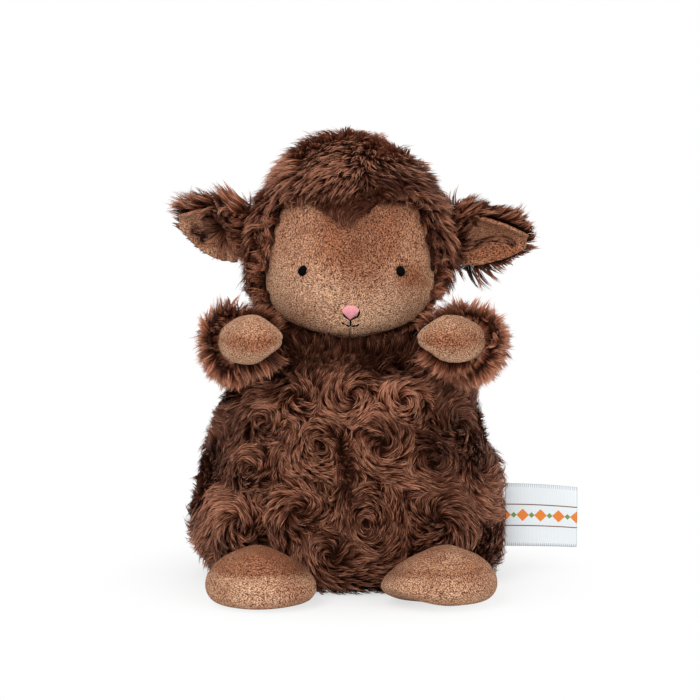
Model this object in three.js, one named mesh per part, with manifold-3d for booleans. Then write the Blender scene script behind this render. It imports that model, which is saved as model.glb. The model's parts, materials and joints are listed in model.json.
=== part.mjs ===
// A seated plush sheep, cut and sewn from swirled fur and short velour.
// Millimetres, +Z up. The sheep faces -Y, so its own left side is at +X.
// The origin is the middle of the flat seat on which it rests.
import * as THREE from "three";
import { mergeVertices } from "three/addons/utils/BufferGeometryUtils.js";
import Module from "manifold-3d";

const wasm = await Module();
wasm.setup();

// Fabrics and clearances
const furDepth = 8; // the fabric with its pile pressed lightly
const velourDepth = 2.4;
const seamGap = 0.6; // between two panels that are sewn edge to edge
const restGap = 0.35; // between a filling and its cover, or two pieces that touch
const turnGap = 0.7; // round a stuffed root that turns in its socket
const overrun = 5; // how far a cutter runs past what it cuts
const weldDistance = 0.001;
const ballSides = 16; // of each root that turns in a socket

// Torso: shares of its height, and of its half width and half depth
const torso = { halfWidth: 77.5, halfDepth: 60, height: 121, sides: 30 };
const torsoHeightShares = [0, 0, 0.02, 0.075, 0.17, 0.28, 0.43, 0.57, 0.7, 0.81, 0.895, 0.95, 0.98, 1];
const torsoRadiusShares = [0, 0.76, 0.87, 0.945, 0.99, 1, 0.96, 0.9, 0.845, 0.78, 0.68, 0.55, 0.4, 0];
const seatDepth = 4;
const seatSeamHeight = 10;

// The bag of pellets that weighs the seat
const pouch = { halfWidth: 52, halfDepth: 38, height: 27, sides: 20 };
const pouchHeightShares = [0, 0, 0.12, 0.4, 0.7, 0.92, 1];
const pouchRadiusShares = [0, 0.8, 0.96, 1, 0.86, 0.5, 0];

// Neck: a stuffed plug that stands in the torso and ends in a half ball inside the head
const neck = { radius: 15, pivotRise: 4.5, depth: 22, flare: 1.2, sides: 20, capSteps: 5 };

// Head
const head = { halfWidth: 53, halfDepth: 47.5, height: 101, lift: 0.5, setForward: 1, sides: 30 };
const headHeightShares = [0, 0.012, 0.045, 0.11, 0.21, 0.36, 0.52, 0.67, 0.8, 0.9, 0.97, 1];
const headRadiusShares = [0, 0.44, 0.67, 0.815, 0.925, 0.995, 0.985, 0.905, 0.76, 0.565, 0.32, 0];
const underHeadDepth = 3.6; // the fur is flattened where the head sits on the body
const faceInset = 4.4; // how far the velour lies below the tips of the pile round it
const faceSeam = { rise: 3, height: 68, halfWidth: 41.5 };
const faceSeamHeightShares = [0, 0.02, 0.08, 0.2, 0.34, 0.5, 0.68, 0.85, 0.95, 1];
const faceSeamWidthShares = [0, 0.32, 0.68, 0.92, 1, 0.985, 0.91, 0.83, 0.7, 0];
const faceSeamSteps = 2; // outline points for each share
const crownBand = { halfWidth: 22, rise: 54, napeRise: 20 };

// Embroidery, placed by its height above the lower end of the face
const stitchHeight = 0.9;
const threadWidth = 0.95;
const eye = { across: 23.5, rise: 33.2, halfWidth: 2.1, halfHeight: 2.7, sides: 14 };
const nose = { halfWidth: 4.1, rise: 10.7, height: 6 };
const noseHeightShares = [0, 0.1, 0.35, 0.65, 0.9, 1];
const noseWidthShares = [0, 0.34, 0.72, 1, 0.8, 0];
const noseSteps = 2;
const mouth = { stem: 3, halfWidth: 4.3, lift: 1.6, armShare: 2 / 3, steps: 6 };

// Ears: cupped leaves, flat at the seam. Angles in degrees, those of the sheep's left ear first.
const ear = {
  reach: 37,
  halfWidth: 18.5,
  furDepth: 5.4,
  rollRadius: 4.8,
  heightShare: 0.51,
  acrossShare: 0.985,
  stepsAcross: 8,
};
const earWidthShares = [0.84, 0.95, 1, 0.97, 0.86, 0.66, 0.36];
const earCupAngles = [10, 28, 48, 58, 63, 66, 66];
const earDepthShares = [0.6, 1, 1, 1, 1, 1, 0.6];
const earFaceDown = 32;
const earDroops = [5, -10];
const earSweeps = [4, 22];

// Arms: from the shoulder to the elbow, on to the cuff and on to the hand's tip
const shoulder = { radius: 15.5, acrossShare: 0.675, forwardShare: 0.2, heightShare: 0.925 };
const upperArm = { out: 5.5, forward: 16, up: 5 };
const forearm = { out: -1.5, forward: 18, up: 5 };
const handReach = { out: -21, forward: 23, up: 5 };
const sleeve = { radius: 17.5, wall: 6.5, sides: 16 };
const sleeveRadiusShares = [0.56, 0.79, 0.98, 1.04, 1];
const hand = { halfWidth: 13.8, halfHeight: 12.2 };
const handReachShares = [0, 0.3, 0.6, 0.82, 0.95, 1];
const handSizeShares = [0.86, 1, 0.97, 0.78, 0.46, 0.15];

// Feet
const foot = {
  halfWidth: 27,
  halfLength: 24,
  height: 27.2,
  lift: 0.4,
  ahead: 14.5,
  acrossShare: 0.565,
  sides: 20,
};
const footHeightShares = [0, 0, 0.06, 0.22, 0.43, 0.66, 0.87, 0.97, 1];
const footRadiusShares = [0, 0.66, 0.85, 0.98, 0.985, 0.84, 0.56, 0.28, 0];
const footSeamShare = 0.42;
const footSplay = 10; // degrees
const heel = { radius: 12, sunk: 7.5 };

// Tail and side label
const tail = { halfWidth: 11, halfDepth: 8, height: 28, heightShare: 0.36, rootRadius: 6, sides: 14 };
const tailHeightShares = [0, 0.05, 0.2, 0.4, 0.62, 0.82, 0.95, 1];
const tailRadiusShares = [0, 0.45, 0.85, 1, 0.9, 0.66, 0.36, 0];
const label = { reach: 36.3, rise: 14.4, height: 31, ribbon: 0.45, opening: 0.8, foldSteps: 8 };

// Colours from the photograph
const furColour = "#4b2e24";
const velourColour = "#a97c62";
const fillingColour = "#efece6";
const materials = {
  fur: new THREE.MeshStandardMaterial({ color: furColour, roughness: 0.85 }),
  velour: new THREE.MeshStandardMaterial({ color: velourColour, roughness: 0.8 }),
  filling: new THREE.MeshStandardMaterial({ color: fillingColour, roughness: 0.95 }),
  pouch: new THREE.MeshStandardMaterial({ color: "#d9d2c4", roughness: 0.9 }),
  blackThread: new THREE.MeshStandardMaterial({ color: "#151313", roughness: 0.5 }),
  pinkThread: new THREE.MeshStandardMaterial({ color: "#e79aa2", roughness: 0.5 }),
  ribbon: new THREE.MeshStandardMaterial({ color: "#e3e8ec", roughness: 0.6 }),
};

// Places that follow from the sizes
const headBottom = torso.height + head.lift;
const headTop = headBottom + head.height;
const faceBottom = headBottom + faceSeam.rise;
const neckPivot = torso.height + neck.pivotRise;
const beyond = torso.halfWidth + torso.halfDepth + head.height; // clear of the whole sheep

// Solids and meshes

// A closed geometry as a solid that can be cut and joined.
function solidFrom(geometry) {
  const loose = geometry.index ? geometry.toNonIndexed() : geometry;
  const points = new THREE.BufferGeometry().setAttribute("position", loose.getAttribute("position"));
  const merged = mergeVertices(points, weldDistance);
  const corners = [];
  for (let i = 0; i < merged.index.count; i += 3) {
    const triangle = [merged.index.getX(i), merged.index.getX(i + 1), merged.index.getX(i + 2)];
    if (new Set(triangle).size === triangle.length) corners.push(triangle);
  }
  const vertProperties = merged.attributes.position.array;
  const made = (triangles) => {
    const triVerts = new Uint32Array(triangles.flat());
    return new wasm.Manifold(new wasm.Mesh({ numProp: 3, vertProperties, triVerts }));
  };
  const solid = made(corners);
  return solid.volume() > 0 ? solid : made(corners.map((triangle) => triangle.reverse()));
}

function meshOf(name, solid, material) {
  const cut = solid.getMesh();
  const position = new Float32Array(cut.numVert * 3);
  for (let i = 0; i < cut.numVert; i++) {
    position.set(cut.vertProperties.subarray(i * cut.numProp, i * cut.numProp + 3), i * 3);
  }
  const geometry = new THREE.BufferGeometry()
    .setAttribute("position", new THREE.BufferAttribute(position, 3))
    .setIndex(new THREE.BufferAttribute(new Uint32Array(cut.triVerts), 1));
  geometry.computeVertexNormals();
  const mesh = new THREE.Mesh(geometry, material);
  mesh.name = name;
  return mesh;
}

// A block between two corners.
function block(x0, x1, y0, y1, z0, z1) {
  const box = new THREE.BoxGeometry(x1 - x0, y1 - y0, z1 - z0);
  return solidFrom(box.translate((x0 + x1) / 2, (y0 + y1) / 2, (z0 + z1) / 2));
}

function ball(radius, centre) {
  const sphere = new THREE.SphereGeometry(radius, ballSides, ballSides / 2);
  return solidFrom(sphere.translate(centre.x, centre.y, centre.z));
}

// A form that swells round an upright axis: a turned profile of shares, stretched to its sizes.
function swelling(heightShares, radiusShares, sides, halfWidth, halfDepth, height) {
  const profile = heightShares.map((share, i) => new THREE.Vector2(radiusShares[i], share));
  return new THREE.LatheGeometry(profile, sides).rotateX(Math.PI / 2).scale(halfWidth, halfDepth, height);
}

// A closed skin through rings of an even count of points, with its ends closed by strips.
function skin(rings) {
  const sides = rings[0].length;
  const index = [];
  const quad = (a, b, c, d) => index.push(a, b, c, a, c, d);
  for (let r = 0; r + 1 < rings.length; r++) {
    for (let i = 0; i < sides; i++) {
      const j = (i + 1) % sides;
      quad(r * sides + i, r * sides + j, (r + 1) * sides + j, (r + 1) * sides + i);
    }
  }
  const last = (rings.length - 1) * sides;
  for (let i = 0, j = sides - 1; i + 1 < j; i++, j--) {
    if (j - i > 1) {
      quad(i, j, j - 1, i + 1);
      quad(last + i, last + i + 1, last + j - 1, last + j);
    }
  }
  return solidFrom(new THREE.BufferGeometry().setFromPoints(rings.flat()).setIndex(index));
}

// A flat outline seen from the front, run through the head as far back as its neck.
function frontPrism(outline) {
  const depth = head.setForward + head.halfDepth + overrun - neck.radius;
  const prism = new THREE.ExtrudeGeometry(new THREE.Shape(outline), { depth, bevelEnabled: false });
  return solidFrom(prism.rotateX(Math.PI / 2).translate(0, -neck.radius, 0));
}

// A closed outline from shares of a height and of a half width, alike on both sides.
function evenOutline(heightShares, widthShares, steps, bottom, height, halfWidth) {
  const corners = heightShares.map(
    (share, i) => new THREE.Vector2(halfWidth * widthShares[i], bottom + height * share),
  );
  const right = new THREE.SplineCurve(corners).getPoints(steps * (corners.length - 1));
  const left = right.slice(1, -1).reverse();
  return [...right, ...left.map((p) => new THREE.Vector2(-p.x, p.y))];
}

// Forms

// The torso moved in or out by a distance, standing at its own height.
function torsoForm(grow, bottom) {
  const { sides, halfWidth, halfDepth, height } = torso;
  const size = [halfWidth + grow, halfDepth + grow, height + grow - bottom];
  const form = swelling(torsoHeightShares, torsoRadiusShares, sides, ...size);
  return solidFrom(form.translate(0, 0, bottom));
}

// The head moved out by one distance, and by another below.
function headForm(grow, growBelow) {
  const { sides, halfWidth, halfDepth, height, setForward } = head;
  const size = [halfWidth + grow, halfDepth + grow, height + grow + growBelow];
  const form = swelling(headHeightShares, headRadiusShares, sides, ...size);
  return solidFrom(form.translate(0, -setForward, headBottom - growBelow));
}

// The neck moved out by a distance, with its post widened by a flare.
function neckForm(grow, flare) {
  const radius = neck.radius + grow;
  const foot = neckPivot - neck.depth - grow;
  const profile = [new THREE.Vector2(0, foot), new THREE.Vector2(radius + flare, foot)];
  if (flare) profile.push(new THREE.Vector2(radius + flare, neckPivot));
  for (let i = 0; i <= neck.capSteps; i++) {
    const angle = (i / neck.capSteps) * (Math.PI / 2);
    profile.push(new THREE.Vector2(radius * Math.cos(angle), neckPivot + radius * Math.sin(angle)));
  }
  profile[profile.length - 1].x = 0;
  return solidFrom(new THREE.LatheGeometry(profile, neck.sides).rotateX(Math.PI / 2));
}

const headCore = headForm(-furDepth, -underHeadDepth);

function faceForm(grow) {
  return headForm(grow - faceInset, grow - underHeadDepth + velourDepth);
}

// Head

function faceOutline(grow) {
  const { height, halfWidth } = faceSeam;
  return evenOutline(
    faceSeamHeightShares,
    faceSeamWidthShares,
    faceSeamSteps,
    faceBottom - grow,
    height + 2 * grow,
    halfWidth + grow,
  );
}

function facePanel() {
  const layer = faceForm(0).subtract(headCore).subtract(neckForm(turnGap, neck.flare));
  return layer.intersect(frontPrism(faceOutline(-seamGap / 2)));
}

// Thread that lies on the face inside an outline.
function stitched(outline) {
  return faceForm(restGap + stitchHeight).subtract(faceForm(restGap)).intersect(frontPrism(outline));
}

function eyePatch(side) {
  const { across, rise, halfWidth, halfHeight, sides } = eye;
  const oval = new THREE.EllipseCurve(side * across, faceBottom + rise, halfWidth, halfHeight);
  return stitched(oval.getPoints(sides).slice(0, -1));
}

function nosePatch() {
  const outline = evenOutline(
    noseHeightShares,
    noseWidthShares,
    noseSteps,
    faceBottom + nose.rise,
    nose.height,
    nose.halfWidth,
  );
  return stitched(outline);
}

// A band of thread along points in the view from the front.
function threadBand(points) {
  const last = points.length - 1;
  const edge = (turn) =>
    points.map((p, i) => {
      const along = points[Math.min(last, i + 1)].clone().sub(points[Math.max(0, i - 1)]).normalize();
      const across = new THREE.Vector2(-along.y, along.x).multiplyScalar((turn * threadWidth) / 2);
      return p.clone().add(across);
    });
  return stitched([...edge(1), ...edge(-1).reverse()]);
}

// One run of thread: a V that holds the nose, a stem and a shallow smile.
function mouthThread() {
  const clear = restGap + threadWidth;
  const top = faceBottom + nose.rise - clear;
  const smileHeight = top - mouth.stem;
  const steps = Array.from({ length: mouth.steps + 1 }, (_, i) => i / mouth.steps);
  const arm = (side) =>
    steps.map((t) => {
      const across = (nose.halfWidth + clear) * Math.sin((t * Math.PI) / 2);
      return new THREE.Vector2(side * across, top + nose.height * mouth.armShare * t * t);
    });
  const smile = (side) =>
    steps.map((t) => new THREE.Vector2(side * mouth.halfWidth * t, smileHeight + mouth.lift * t * t));
  const stem = [new THREE.Vector2(0, smileHeight), new THREE.Vector2(0, top)];
  const bands = [arm(-1), arm(1), smile(-1), smile(1)];
  return bands.reduce((sum, band) => sum.add(threadBand(band)), threadBand(stem));
}

// The band of the hood that runs from the fringe over the crown to the nape.
function crownRegion(grow) {
  const half = crownBand.halfWidth + grow;
  const front = block(-half, half, -beyond, overrun, headBottom + crownBand.rise - grow, headTop + overrun);
  return front.add(block(-half, half, 0, beyond, headBottom + crownBand.napeRise - grow, headTop + overrun));
}

function hoodPieces() {
  const cutters = [frontPrism(faceOutline(seamGap / 2)), neckForm(turnGap, neck.flare)];
  cutters.push(earRoll(1, restGap, overrun), earRoll(-1, restGap, overrun));
  const shell = cutters.reduce((rest, cutter) => rest.subtract(cutter), headForm(0, 0).subtract(headCore));
  const sides = shell.subtract(crownRegion(seamGap / 2));
  return {
    crown: shell.intersect(crownRegion(-seamGap / 2)),
    left: sides.intersect(block(seamGap / 2, beyond, -beyond, beyond, 0, beyond)),
    right: sides.intersect(block(-beyond, -seamGap / 2, -beyond, beyond, 0, beyond)),
  };
}

function headFilling() {
  return headForm(-furDepth - restGap, -underHeadDepth - restGap).subtract(neckForm(turnGap, neck.flare));
}

// Ears

// The ear's own frame: X runs out along the ear, Y to its back and Z along its seam.
function earFrame(side) {
  const first = side > 0 ? 0 : 1;
  const turn = new THREE.Euler(
    THREE.MathUtils.degToRad(earFaceDown),
    side * THREE.MathUtils.degToRad(earDroops[first]),
    side * THREE.MathUtils.degToRad(earSweeps[first]),
    "ZYX",
  );
  const root = new THREE.Vector3(
    side * head.halfWidth * ear.acrossShare,
    -head.setForward,
    headBottom + head.height * ear.heightShare,
  );
  return new THREE.Matrix4().makeRotationFromEuler(turn).setPosition(root);
}

// One layer of the ear, between two depths behind the middle of its thickness, the bare face first.
function earLayer(side, bare, sewn) {
  const steps = earWidthShares.length - 1;
  const line = Array.from({ length: ear.stepsAcross + 1 }, (_, k) => (2 * k) / ear.stepsAcross - 1);
  const rings = earWidthShares.map((share, i) => {
    const cup = THREE.MathUtils.degToRad(earCupAngles[i]);
    const bend = (ear.halfWidth * share) / cup;
    const sag = (bend * (1 - Math.cos(cup))) / 2;
    const at = (depth, t) => {
      const radius = bend + depth * earDepthShares[i];
      const back = radius * Math.cos(t * cup) - bend + sag;
      return new THREE.Vector3((side * ear.reach * i) / steps, back, radius * Math.sin(t * cup));
    };
    return [...line.map((t) => at(bare, t)), ...line.toReversed().map((t) => at(sewn, t))];
  });
  return skin(rings.map((ring) => ring.map((p) => p.applyMatrix4(earFrame(side)))));
}

// The roll along an ear's seam, moved out by a distance and run past both its ends by another.
// It turns in a groove in the hood's pile.
function earRoll(side, grow, past) {
  const radius = ear.rollRadius + grow;
  const width = 2 * (ear.halfWidth * earWidthShares[0] + past);
  const roll = new THREE.CylinderGeometry(radius, radius, width, head.sides);
  return solidFrom(roll.rotateX(Math.PI / 2).applyMatrix4(earFrame(side)));
}

function earPieces(side) {
  const half = (ear.furDepth + velourDepth + restGap) / 2;
  return {
    lining: earLayer(side, -half, velourDepth - half).subtract(earRoll(side, restGap, overrun)),
    back: earLayer(side, half, half - ear.furDepth).add(earRoll(side, 0, 0)),
  };
}

// Arms

function shoulderPoint(side) {
  const { acrossShare, forwardShare, heightShare } = shoulder;
  return new THREE.Vector3(
    side * torso.halfWidth * acrossShare,
    -torso.halfDepth * forwardShare,
    torso.height * heightShare,
  );
}

const armRuns = [upperArm, forearm, handReach];

function armLine(side) {
  const points = [shoulderPoint(side)];
  for (const { out, forward, up } of armRuns) {
    points.push(points[points.length - 1].clone().add(new THREE.Vector3(side * out, -forward, up)));
  }
  return new THREE.CatmullRomCurve3(points);
}

const cuffShare = 1 - 1 / armRuns.length;
const handLength = Math.hypot(...Object.values(handReach));

// An oval ring across the arm, at a share of its line.
function armRing(line, share, halfWidth, halfHeight) {
  const along = line.getTangent(share);
  const sideways = new THREE.Vector3().crossVectors(along, new THREE.Vector3(0, 0, 1)).normalize();
  const over = new THREE.Vector3().crossVectors(sideways, along);
  return Array.from({ length: sleeve.sides }, (_, k) => {
    const angle = (2 * Math.PI * k) / sleeve.sides;
    const across = sideways.clone().multiplyScalar(halfWidth * Math.cos(angle));
    return line.getPoint(share).add(across).addScaledVector(over, halfHeight * Math.sin(angle));
  });
}

// The sleeve moved in or out by a distance, and run past the cuff by another where one is given.
function sleeveForm(side, grow, past) {
  const line = armLine(side);
  const steps = sleeveRadiusShares.length - 1;
  const ring = (share, size) => {
    const radius = sleeve.radius * size + grow;
    return armRing(line, share, radius, radius);
  };
  const rings = sleeveRadiusShares.map((size, i) => ring((cuffShare * i) / steps, size));
  if (past) rings.push(ring(cuffShare + ((1 - cuffShare) * past) / handLength, 1));
  return skin(rings).add(ball(shoulder.radius + grow, shoulderPoint(side)));
}

// The hand moved in or out by a distance, begun past the cuff by another.
function handForm(side, grow, past) {
  const line = armLine(side);
  const start = past / handLength;
  const rings = handReachShares.map((reach, i) => {
    const share = start + reach * (1 + grow / handLength - start);
    const size = handSizeShares[i];
    const wider = grow * Math.sqrt(size);
    return armRing(
      line,
      cuffShare + (1 - cuffShare) * share,
      hand.halfWidth * size + wider,
      hand.halfHeight * size + wider,
    );
  });
  return skin(rings);
}

function armPieces(side) {
  const inside = -velourDepth - restGap;
  return {
    sleeve: sleeveForm(side, 0, 0).subtract(sleeveForm(side, -sleeve.wall, overrun)),
    hand: handForm(side, 0, seamGap).subtract(handForm(side, -velourDepth, -overrun)),
    filling: sleeveForm(side, -sleeve.wall - restGap, 0).add(handForm(side, inside, -overrun)),
  };
}

// Feet

function footCentre(side) {
  const across = side * torso.halfWidth * foot.acrossShare;
  return new THREE.Vector3(across, -torso.halfDepth - foot.ahead, foot.lift);
}

function heelPoint(side) {
  return new THREE.Vector3(footCentre(side).x, heel.sunk - torso.halfDepth, foot.lift + foot.height / 2);
}

function footForm(side, grow) {
  const { halfWidth, halfLength, height, sides } = foot;
  const centre = footCentre(side);
  const size = [halfWidth + grow, halfLength + grow, height + 2 * grow];
  const form = swelling(footHeightShares, footRadiusShares, sides, ...size);
  form.rotateZ(side * THREE.MathUtils.degToRad(footSplay)).translate(centre.x, centre.y, centre.z - grow);
  const root = heelPoint(side);
  const radius = heel.radius + grow;
  const ankle = new THREE.CylinderGeometry(radius, radius, root.y - centre.y, ballSides);
  ankle.translate(root.x, (root.y + centre.y) / 2, root.z);
  return solidFrom(form).add(solidFrom(ankle)).add(ball(radius, root));
}

function footPieces(side) {
  const shell = footForm(side, 0).subtract(footForm(side, -velourDepth));
  const seam = foot.lift + foot.height * footSeamShare;
  return {
    upper: shell.intersect(block(-beyond, beyond, -beyond, 0, seam + seamGap / 2, beyond)),
    sole: shell.intersect(block(-beyond, beyond, -beyond, 0, -overrun, seam - seamGap / 2)),
    filling: footForm(side, -velourDepth - restGap),
  };
}

// Tail

function tailPoint() {
  return new THREE.Vector3(0, torso.halfDepth, torso.height * tail.heightShare);
}

function tailForm() {
  const { sides, halfWidth, halfDepth, height, rootRadius } = tail;
  const root = tailPoint();
  const form = swelling(tailHeightShares, tailRadiusShares, sides, halfWidth, halfDepth, height);
  form.translate(0, root.y, root.z - height);
  return solidFrom(form).subtract(torsoForm(turnGap, -turnGap)).add(ball(rootRadius, root));
}

// Torso

// What the torso gives up to the neck, the limbs and the tail.
function torsoRooms() {
  const rooms = [neckForm(turnGap, 0), ball(tail.rootRadius + turnGap, tailPoint())];
  for (const side of [1, -1]) {
    rooms.push(ball(shoulder.radius + turnGap, shoulderPoint(side)));
    rooms.push(ball(heel.radius + turnGap, heelPoint(side)));
  }
  return rooms;
}

function torsoPieces() {
  const carved = (form) => torsoRooms().reduce((rest, room) => rest.subtract(room), form);
  const wall = carved(torsoForm(0, 0).subtract(torsoForm(-furDepth, seatDepth)));
  const seam = seatSeamHeight;
  return {
    front: wall.intersect(block(-beyond, beyond, -beyond, -seamGap / 2, seam + seamGap / 2, beyond)),
    back: wall.intersect(block(-beyond, beyond, seamGap / 2, beyond, seam + seamGap / 2, beyond)),
    seat: wall.intersect(block(-beyond, beyond, -beyond, beyond, -overrun, seam - seamGap / 2)),
    filling: carved(torsoForm(-furDepth - restGap, seatDepth + restGap).subtract(pouchForm(restGap))),
  };
}

function pouchForm(grow) {
  const { halfWidth, halfDepth, height, sides } = pouch;
  const size = [halfWidth + grow, halfDepth + grow, height + 2 * grow];
  const form = swelling(pouchHeightShares, pouchRadiusShares, sides, ...size);
  return solidFrom(form.translate(0, 0, seatDepth + restGap - grow));
}

// A ribbon folded double, with its two ends at the side seam.
function sideLabel() {
  const { reach, rise, height, ribbon, opening, foldSteps } = label;
  const outer = opening / 2 + ribbon;
  const fold = reach - outer;
  const bow = (radius, turn) =>
    Array.from({ length: foldSteps + 1 }, (_, i) => {
      const angle = turn * (i / foldSteps - 1 / 2) * Math.PI;
      return new THREE.Vector2(fold + radius * Math.cos(angle), radius * Math.sin(angle));
    });
  const outline = [
    new THREE.Vector2(0, -outer),
    ...bow(outer, 1),
    new THREE.Vector2(0, outer),
    new THREE.Vector2(0, opening / 2),
    ...bow(opening / 2, -1),
    new THREE.Vector2(0, -opening / 2),
  ];
  const band = new THREE.ExtrudeGeometry(new THREE.Shape(outline), { depth: height, bevelEnabled: false });
  return solidFrom(band.translate(torso.halfWidth + restGap, 0, rise));
}

const group = new THREE.Group();
const body = torsoPieces();
const hood = hoodPieces();
group.add(meshOf("body_front_panel", body.front, materials.fur));
group.add(meshOf("body_back_panel", body.back, materials.fur));
group.add(meshOf("seat_panel", body.seat, materials.fur));
group.add(meshOf("body_filling", body.filling, materials.filling));
group.add(meshOf("pellet_pouch", pouchForm(0), materials.pouch));
group.add(meshOf("neck_filling", neckForm(0, 0), materials.filling));
group.add(meshOf("face_panel", facePanel(), materials.velour));
group.add(meshOf("crown_gusset", hood.crown, materials.fur));
group.add(meshOf("hood_left", hood.left, materials.fur));
group.add(meshOf("hood_right", hood.right, materials.fur));
group.add(meshOf("head_filling", headFilling(), materials.filling));
group.add(meshOf("nose", nosePatch(), materials.pinkThread));
group.add(meshOf("mouth_stitching", mouthThread(), materials.blackThread));
for (const [side, word] of [[1, "left"], [-1, "right"]]) {
  const arm = armPieces(side);
  const earParts = earPieces(side);
  const footParts = footPieces(side);
  group.add(meshOf(`eye_${word}`, eyePatch(side), materials.blackThread));
  group.add(meshOf(`ear_${word}_lining`, earParts.lining, materials.velour));
  group.add(meshOf(`ear_${word}_back`, earParts.back, materials.fur));
  group.add(meshOf(`arm_${word}_sleeve`, arm.sleeve, materials.fur));
  group.add(meshOf(`arm_${word}_hand`, arm.hand, materials.velour));
  group.add(meshOf(`arm_${word}_filling`, arm.filling, materials.filling));
  group.add(meshOf(`foot_${word}_upper`, footParts.upper, materials.velour));
  group.add(meshOf(`foot_${word}_sole`, footParts.sole, materials.velour));
  group.add(meshOf(`foot_${word}_filling`, footParts.filling, materials.filling));
}
group.add(meshOf("tail", tailForm(), materials.fur));
group.add(meshOf("side_label", sideLabel(), materials.ribbon));

export default group;
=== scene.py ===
import json
import math

import bpy
import numpy as np
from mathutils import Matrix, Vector
from mathutils.bvhtree import BVHTree

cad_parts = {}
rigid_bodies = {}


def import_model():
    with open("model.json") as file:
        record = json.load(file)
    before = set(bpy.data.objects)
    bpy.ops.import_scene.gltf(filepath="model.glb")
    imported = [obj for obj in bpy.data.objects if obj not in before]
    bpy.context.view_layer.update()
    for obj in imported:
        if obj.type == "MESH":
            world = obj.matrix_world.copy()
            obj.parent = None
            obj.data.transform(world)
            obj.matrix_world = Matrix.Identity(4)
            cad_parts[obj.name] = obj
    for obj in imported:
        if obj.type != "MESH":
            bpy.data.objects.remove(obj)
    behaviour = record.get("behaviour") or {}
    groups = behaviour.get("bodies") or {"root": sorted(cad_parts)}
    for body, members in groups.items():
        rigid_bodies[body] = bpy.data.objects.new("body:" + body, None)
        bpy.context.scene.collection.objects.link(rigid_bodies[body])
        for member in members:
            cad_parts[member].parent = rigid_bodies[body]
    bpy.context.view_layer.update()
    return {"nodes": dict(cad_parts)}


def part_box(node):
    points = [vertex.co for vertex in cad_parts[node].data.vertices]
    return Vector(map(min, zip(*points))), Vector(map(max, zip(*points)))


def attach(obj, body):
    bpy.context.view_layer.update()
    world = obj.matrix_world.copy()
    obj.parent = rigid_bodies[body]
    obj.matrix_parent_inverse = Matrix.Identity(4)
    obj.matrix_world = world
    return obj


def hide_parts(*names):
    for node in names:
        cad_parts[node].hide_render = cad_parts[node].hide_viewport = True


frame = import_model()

mm = 0.001  # sizes below are in millimetres, the scene is in metres


# Shared tools

def paint(red, green, blue):  # a screen colour, 0 to 255, as the shader's own
    return tuple((c / 255 / 12.92) if c < 11 else ((c / 255 + 0.055) / 1.055) ** 2.4
                 for c in (red, green, blue)) + (1,)


def unit(vectors):
    return vectors / np.maximum(np.linalg.norm(vectors, axis=-1, keepdims=True), 1e-9)


def apartFrom(points, spot):
    return np.linalg.norm(points - spot, axis=-1)


def toNearest(points, spots):
    return apartFrom(points[:, None], spots).min(1)


def smoothStep(low, high, values):
    t = np.clip((values - low) / (high - low), 0, 1)
    return t * t * (3 - 2 * t)


def fadeIn(low, high, values):  # from 0 to 1 between two distances in mm
    return smoothStep(low * mm, high * mm, values)


def bell(values, width):  # 1 at zero and gone a few widths away
    return np.exp(-((values / width) ** 2))


def pickOnly(*objects):
    bpy.ops.object.select_all(action="DESELECT")
    for obj in objects:
        obj.select_set(True)
    bpy.context.view_layer.objects.active = objects[0]


def finishWith(obj, kind, **values):  # adds a modifier, sets it and applies it
    pickOnly(obj)
    bpy.ops.object.modifier_add(type=kind)
    modifier = obj.modifiers[-1]
    for name, value in values.items():
        setattr(modifier, name, value)
    bpy.ops.object.modifier_apply(modifier=modifier.name)


def triples(items, name, kind=np.float32):
    flat = np.empty(len(items) * 3, kind)
    items.foreach_get(name, flat)
    return flat.reshape(-1, 3)


def pointsOf(obj):
    return triples(obj.data.vertices, "co").astype(float)


def normalsOf(obj):
    return triples(obj.data.vertex_normals, "vector").astype(float)


def trianglesOf(obj):
    obj.data.calc_loop_triangles()
    return triples(obj.data.loop_triangles, "vertices", np.int32)


def movePoints(obj, points):
    obj.data.vertices.foreach_set("co", points.astype(np.float32).ravel())
    obj.data.update()


def treeOf(obj):
    return BVHTree.FromPolygons([Vector(p) for p in pointsOf(obj)], trianglesOf(obj).tolist())


# Closed stuffed forms, each grown together from the frame's own solids

def stuffed(name, nodes, voxel, passes, inset=0.0, hull=False):
    parts = [bpy.data.objects.new(name, frame["nodes"][node].data.copy()) for node in nodes]
    for part in parts:
        bpy.context.scene.collection.objects.link(part)
    pickOnly(*parts)
    if len(parts) > 1:
        bpy.ops.object.join()
    obj = parts[0]
    obj.data.materials.clear()
    bpy.ops.object.mode_set(mode="EDIT")
    bpy.ops.mesh.select_all(action="SELECT")
    bpy.ops.mesh.remove_doubles(threshold=0.001 * mm)
    if hull:
        bpy.ops.mesh.convex_hull()
    bpy.ops.object.mode_set(mode="OBJECT")
    finishWith(obj, "REMESH", mode="VOXEL", voxel_size=voxel * mm)
    keepOutside(obj)
    finishWith(obj, "SMOOTH", factor=0.5, iterations=passes)
    if inset:
        finishWith(obj, "DISPLACE", strength=-inset * mm, mid_level=0)
    return obj


def keepOutside(obj):  # drops the bubbles left where a filling lies in its cover
    pickOnly(obj)
    bpy.ops.object.mode_set(mode="EDIT")
    bpy.ops.mesh.select_all(action="DESELECT")
    bpy.ops.object.mode_set(mode="OBJECT")
    outermost = int(np.argmax(pointsOf(obj)[:, 2]))
    obj.data.vertices[outermost].select = True
    bpy.ops.object.mode_set(mode="EDIT")
    bpy.ops.mesh.select_linked()
    bpy.ops.mesh.select_all(action="INVERT")
    bpy.ops.mesh.delete(type="VERT")
    bpy.ops.object.mode_set(mode="OBJECT")


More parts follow.
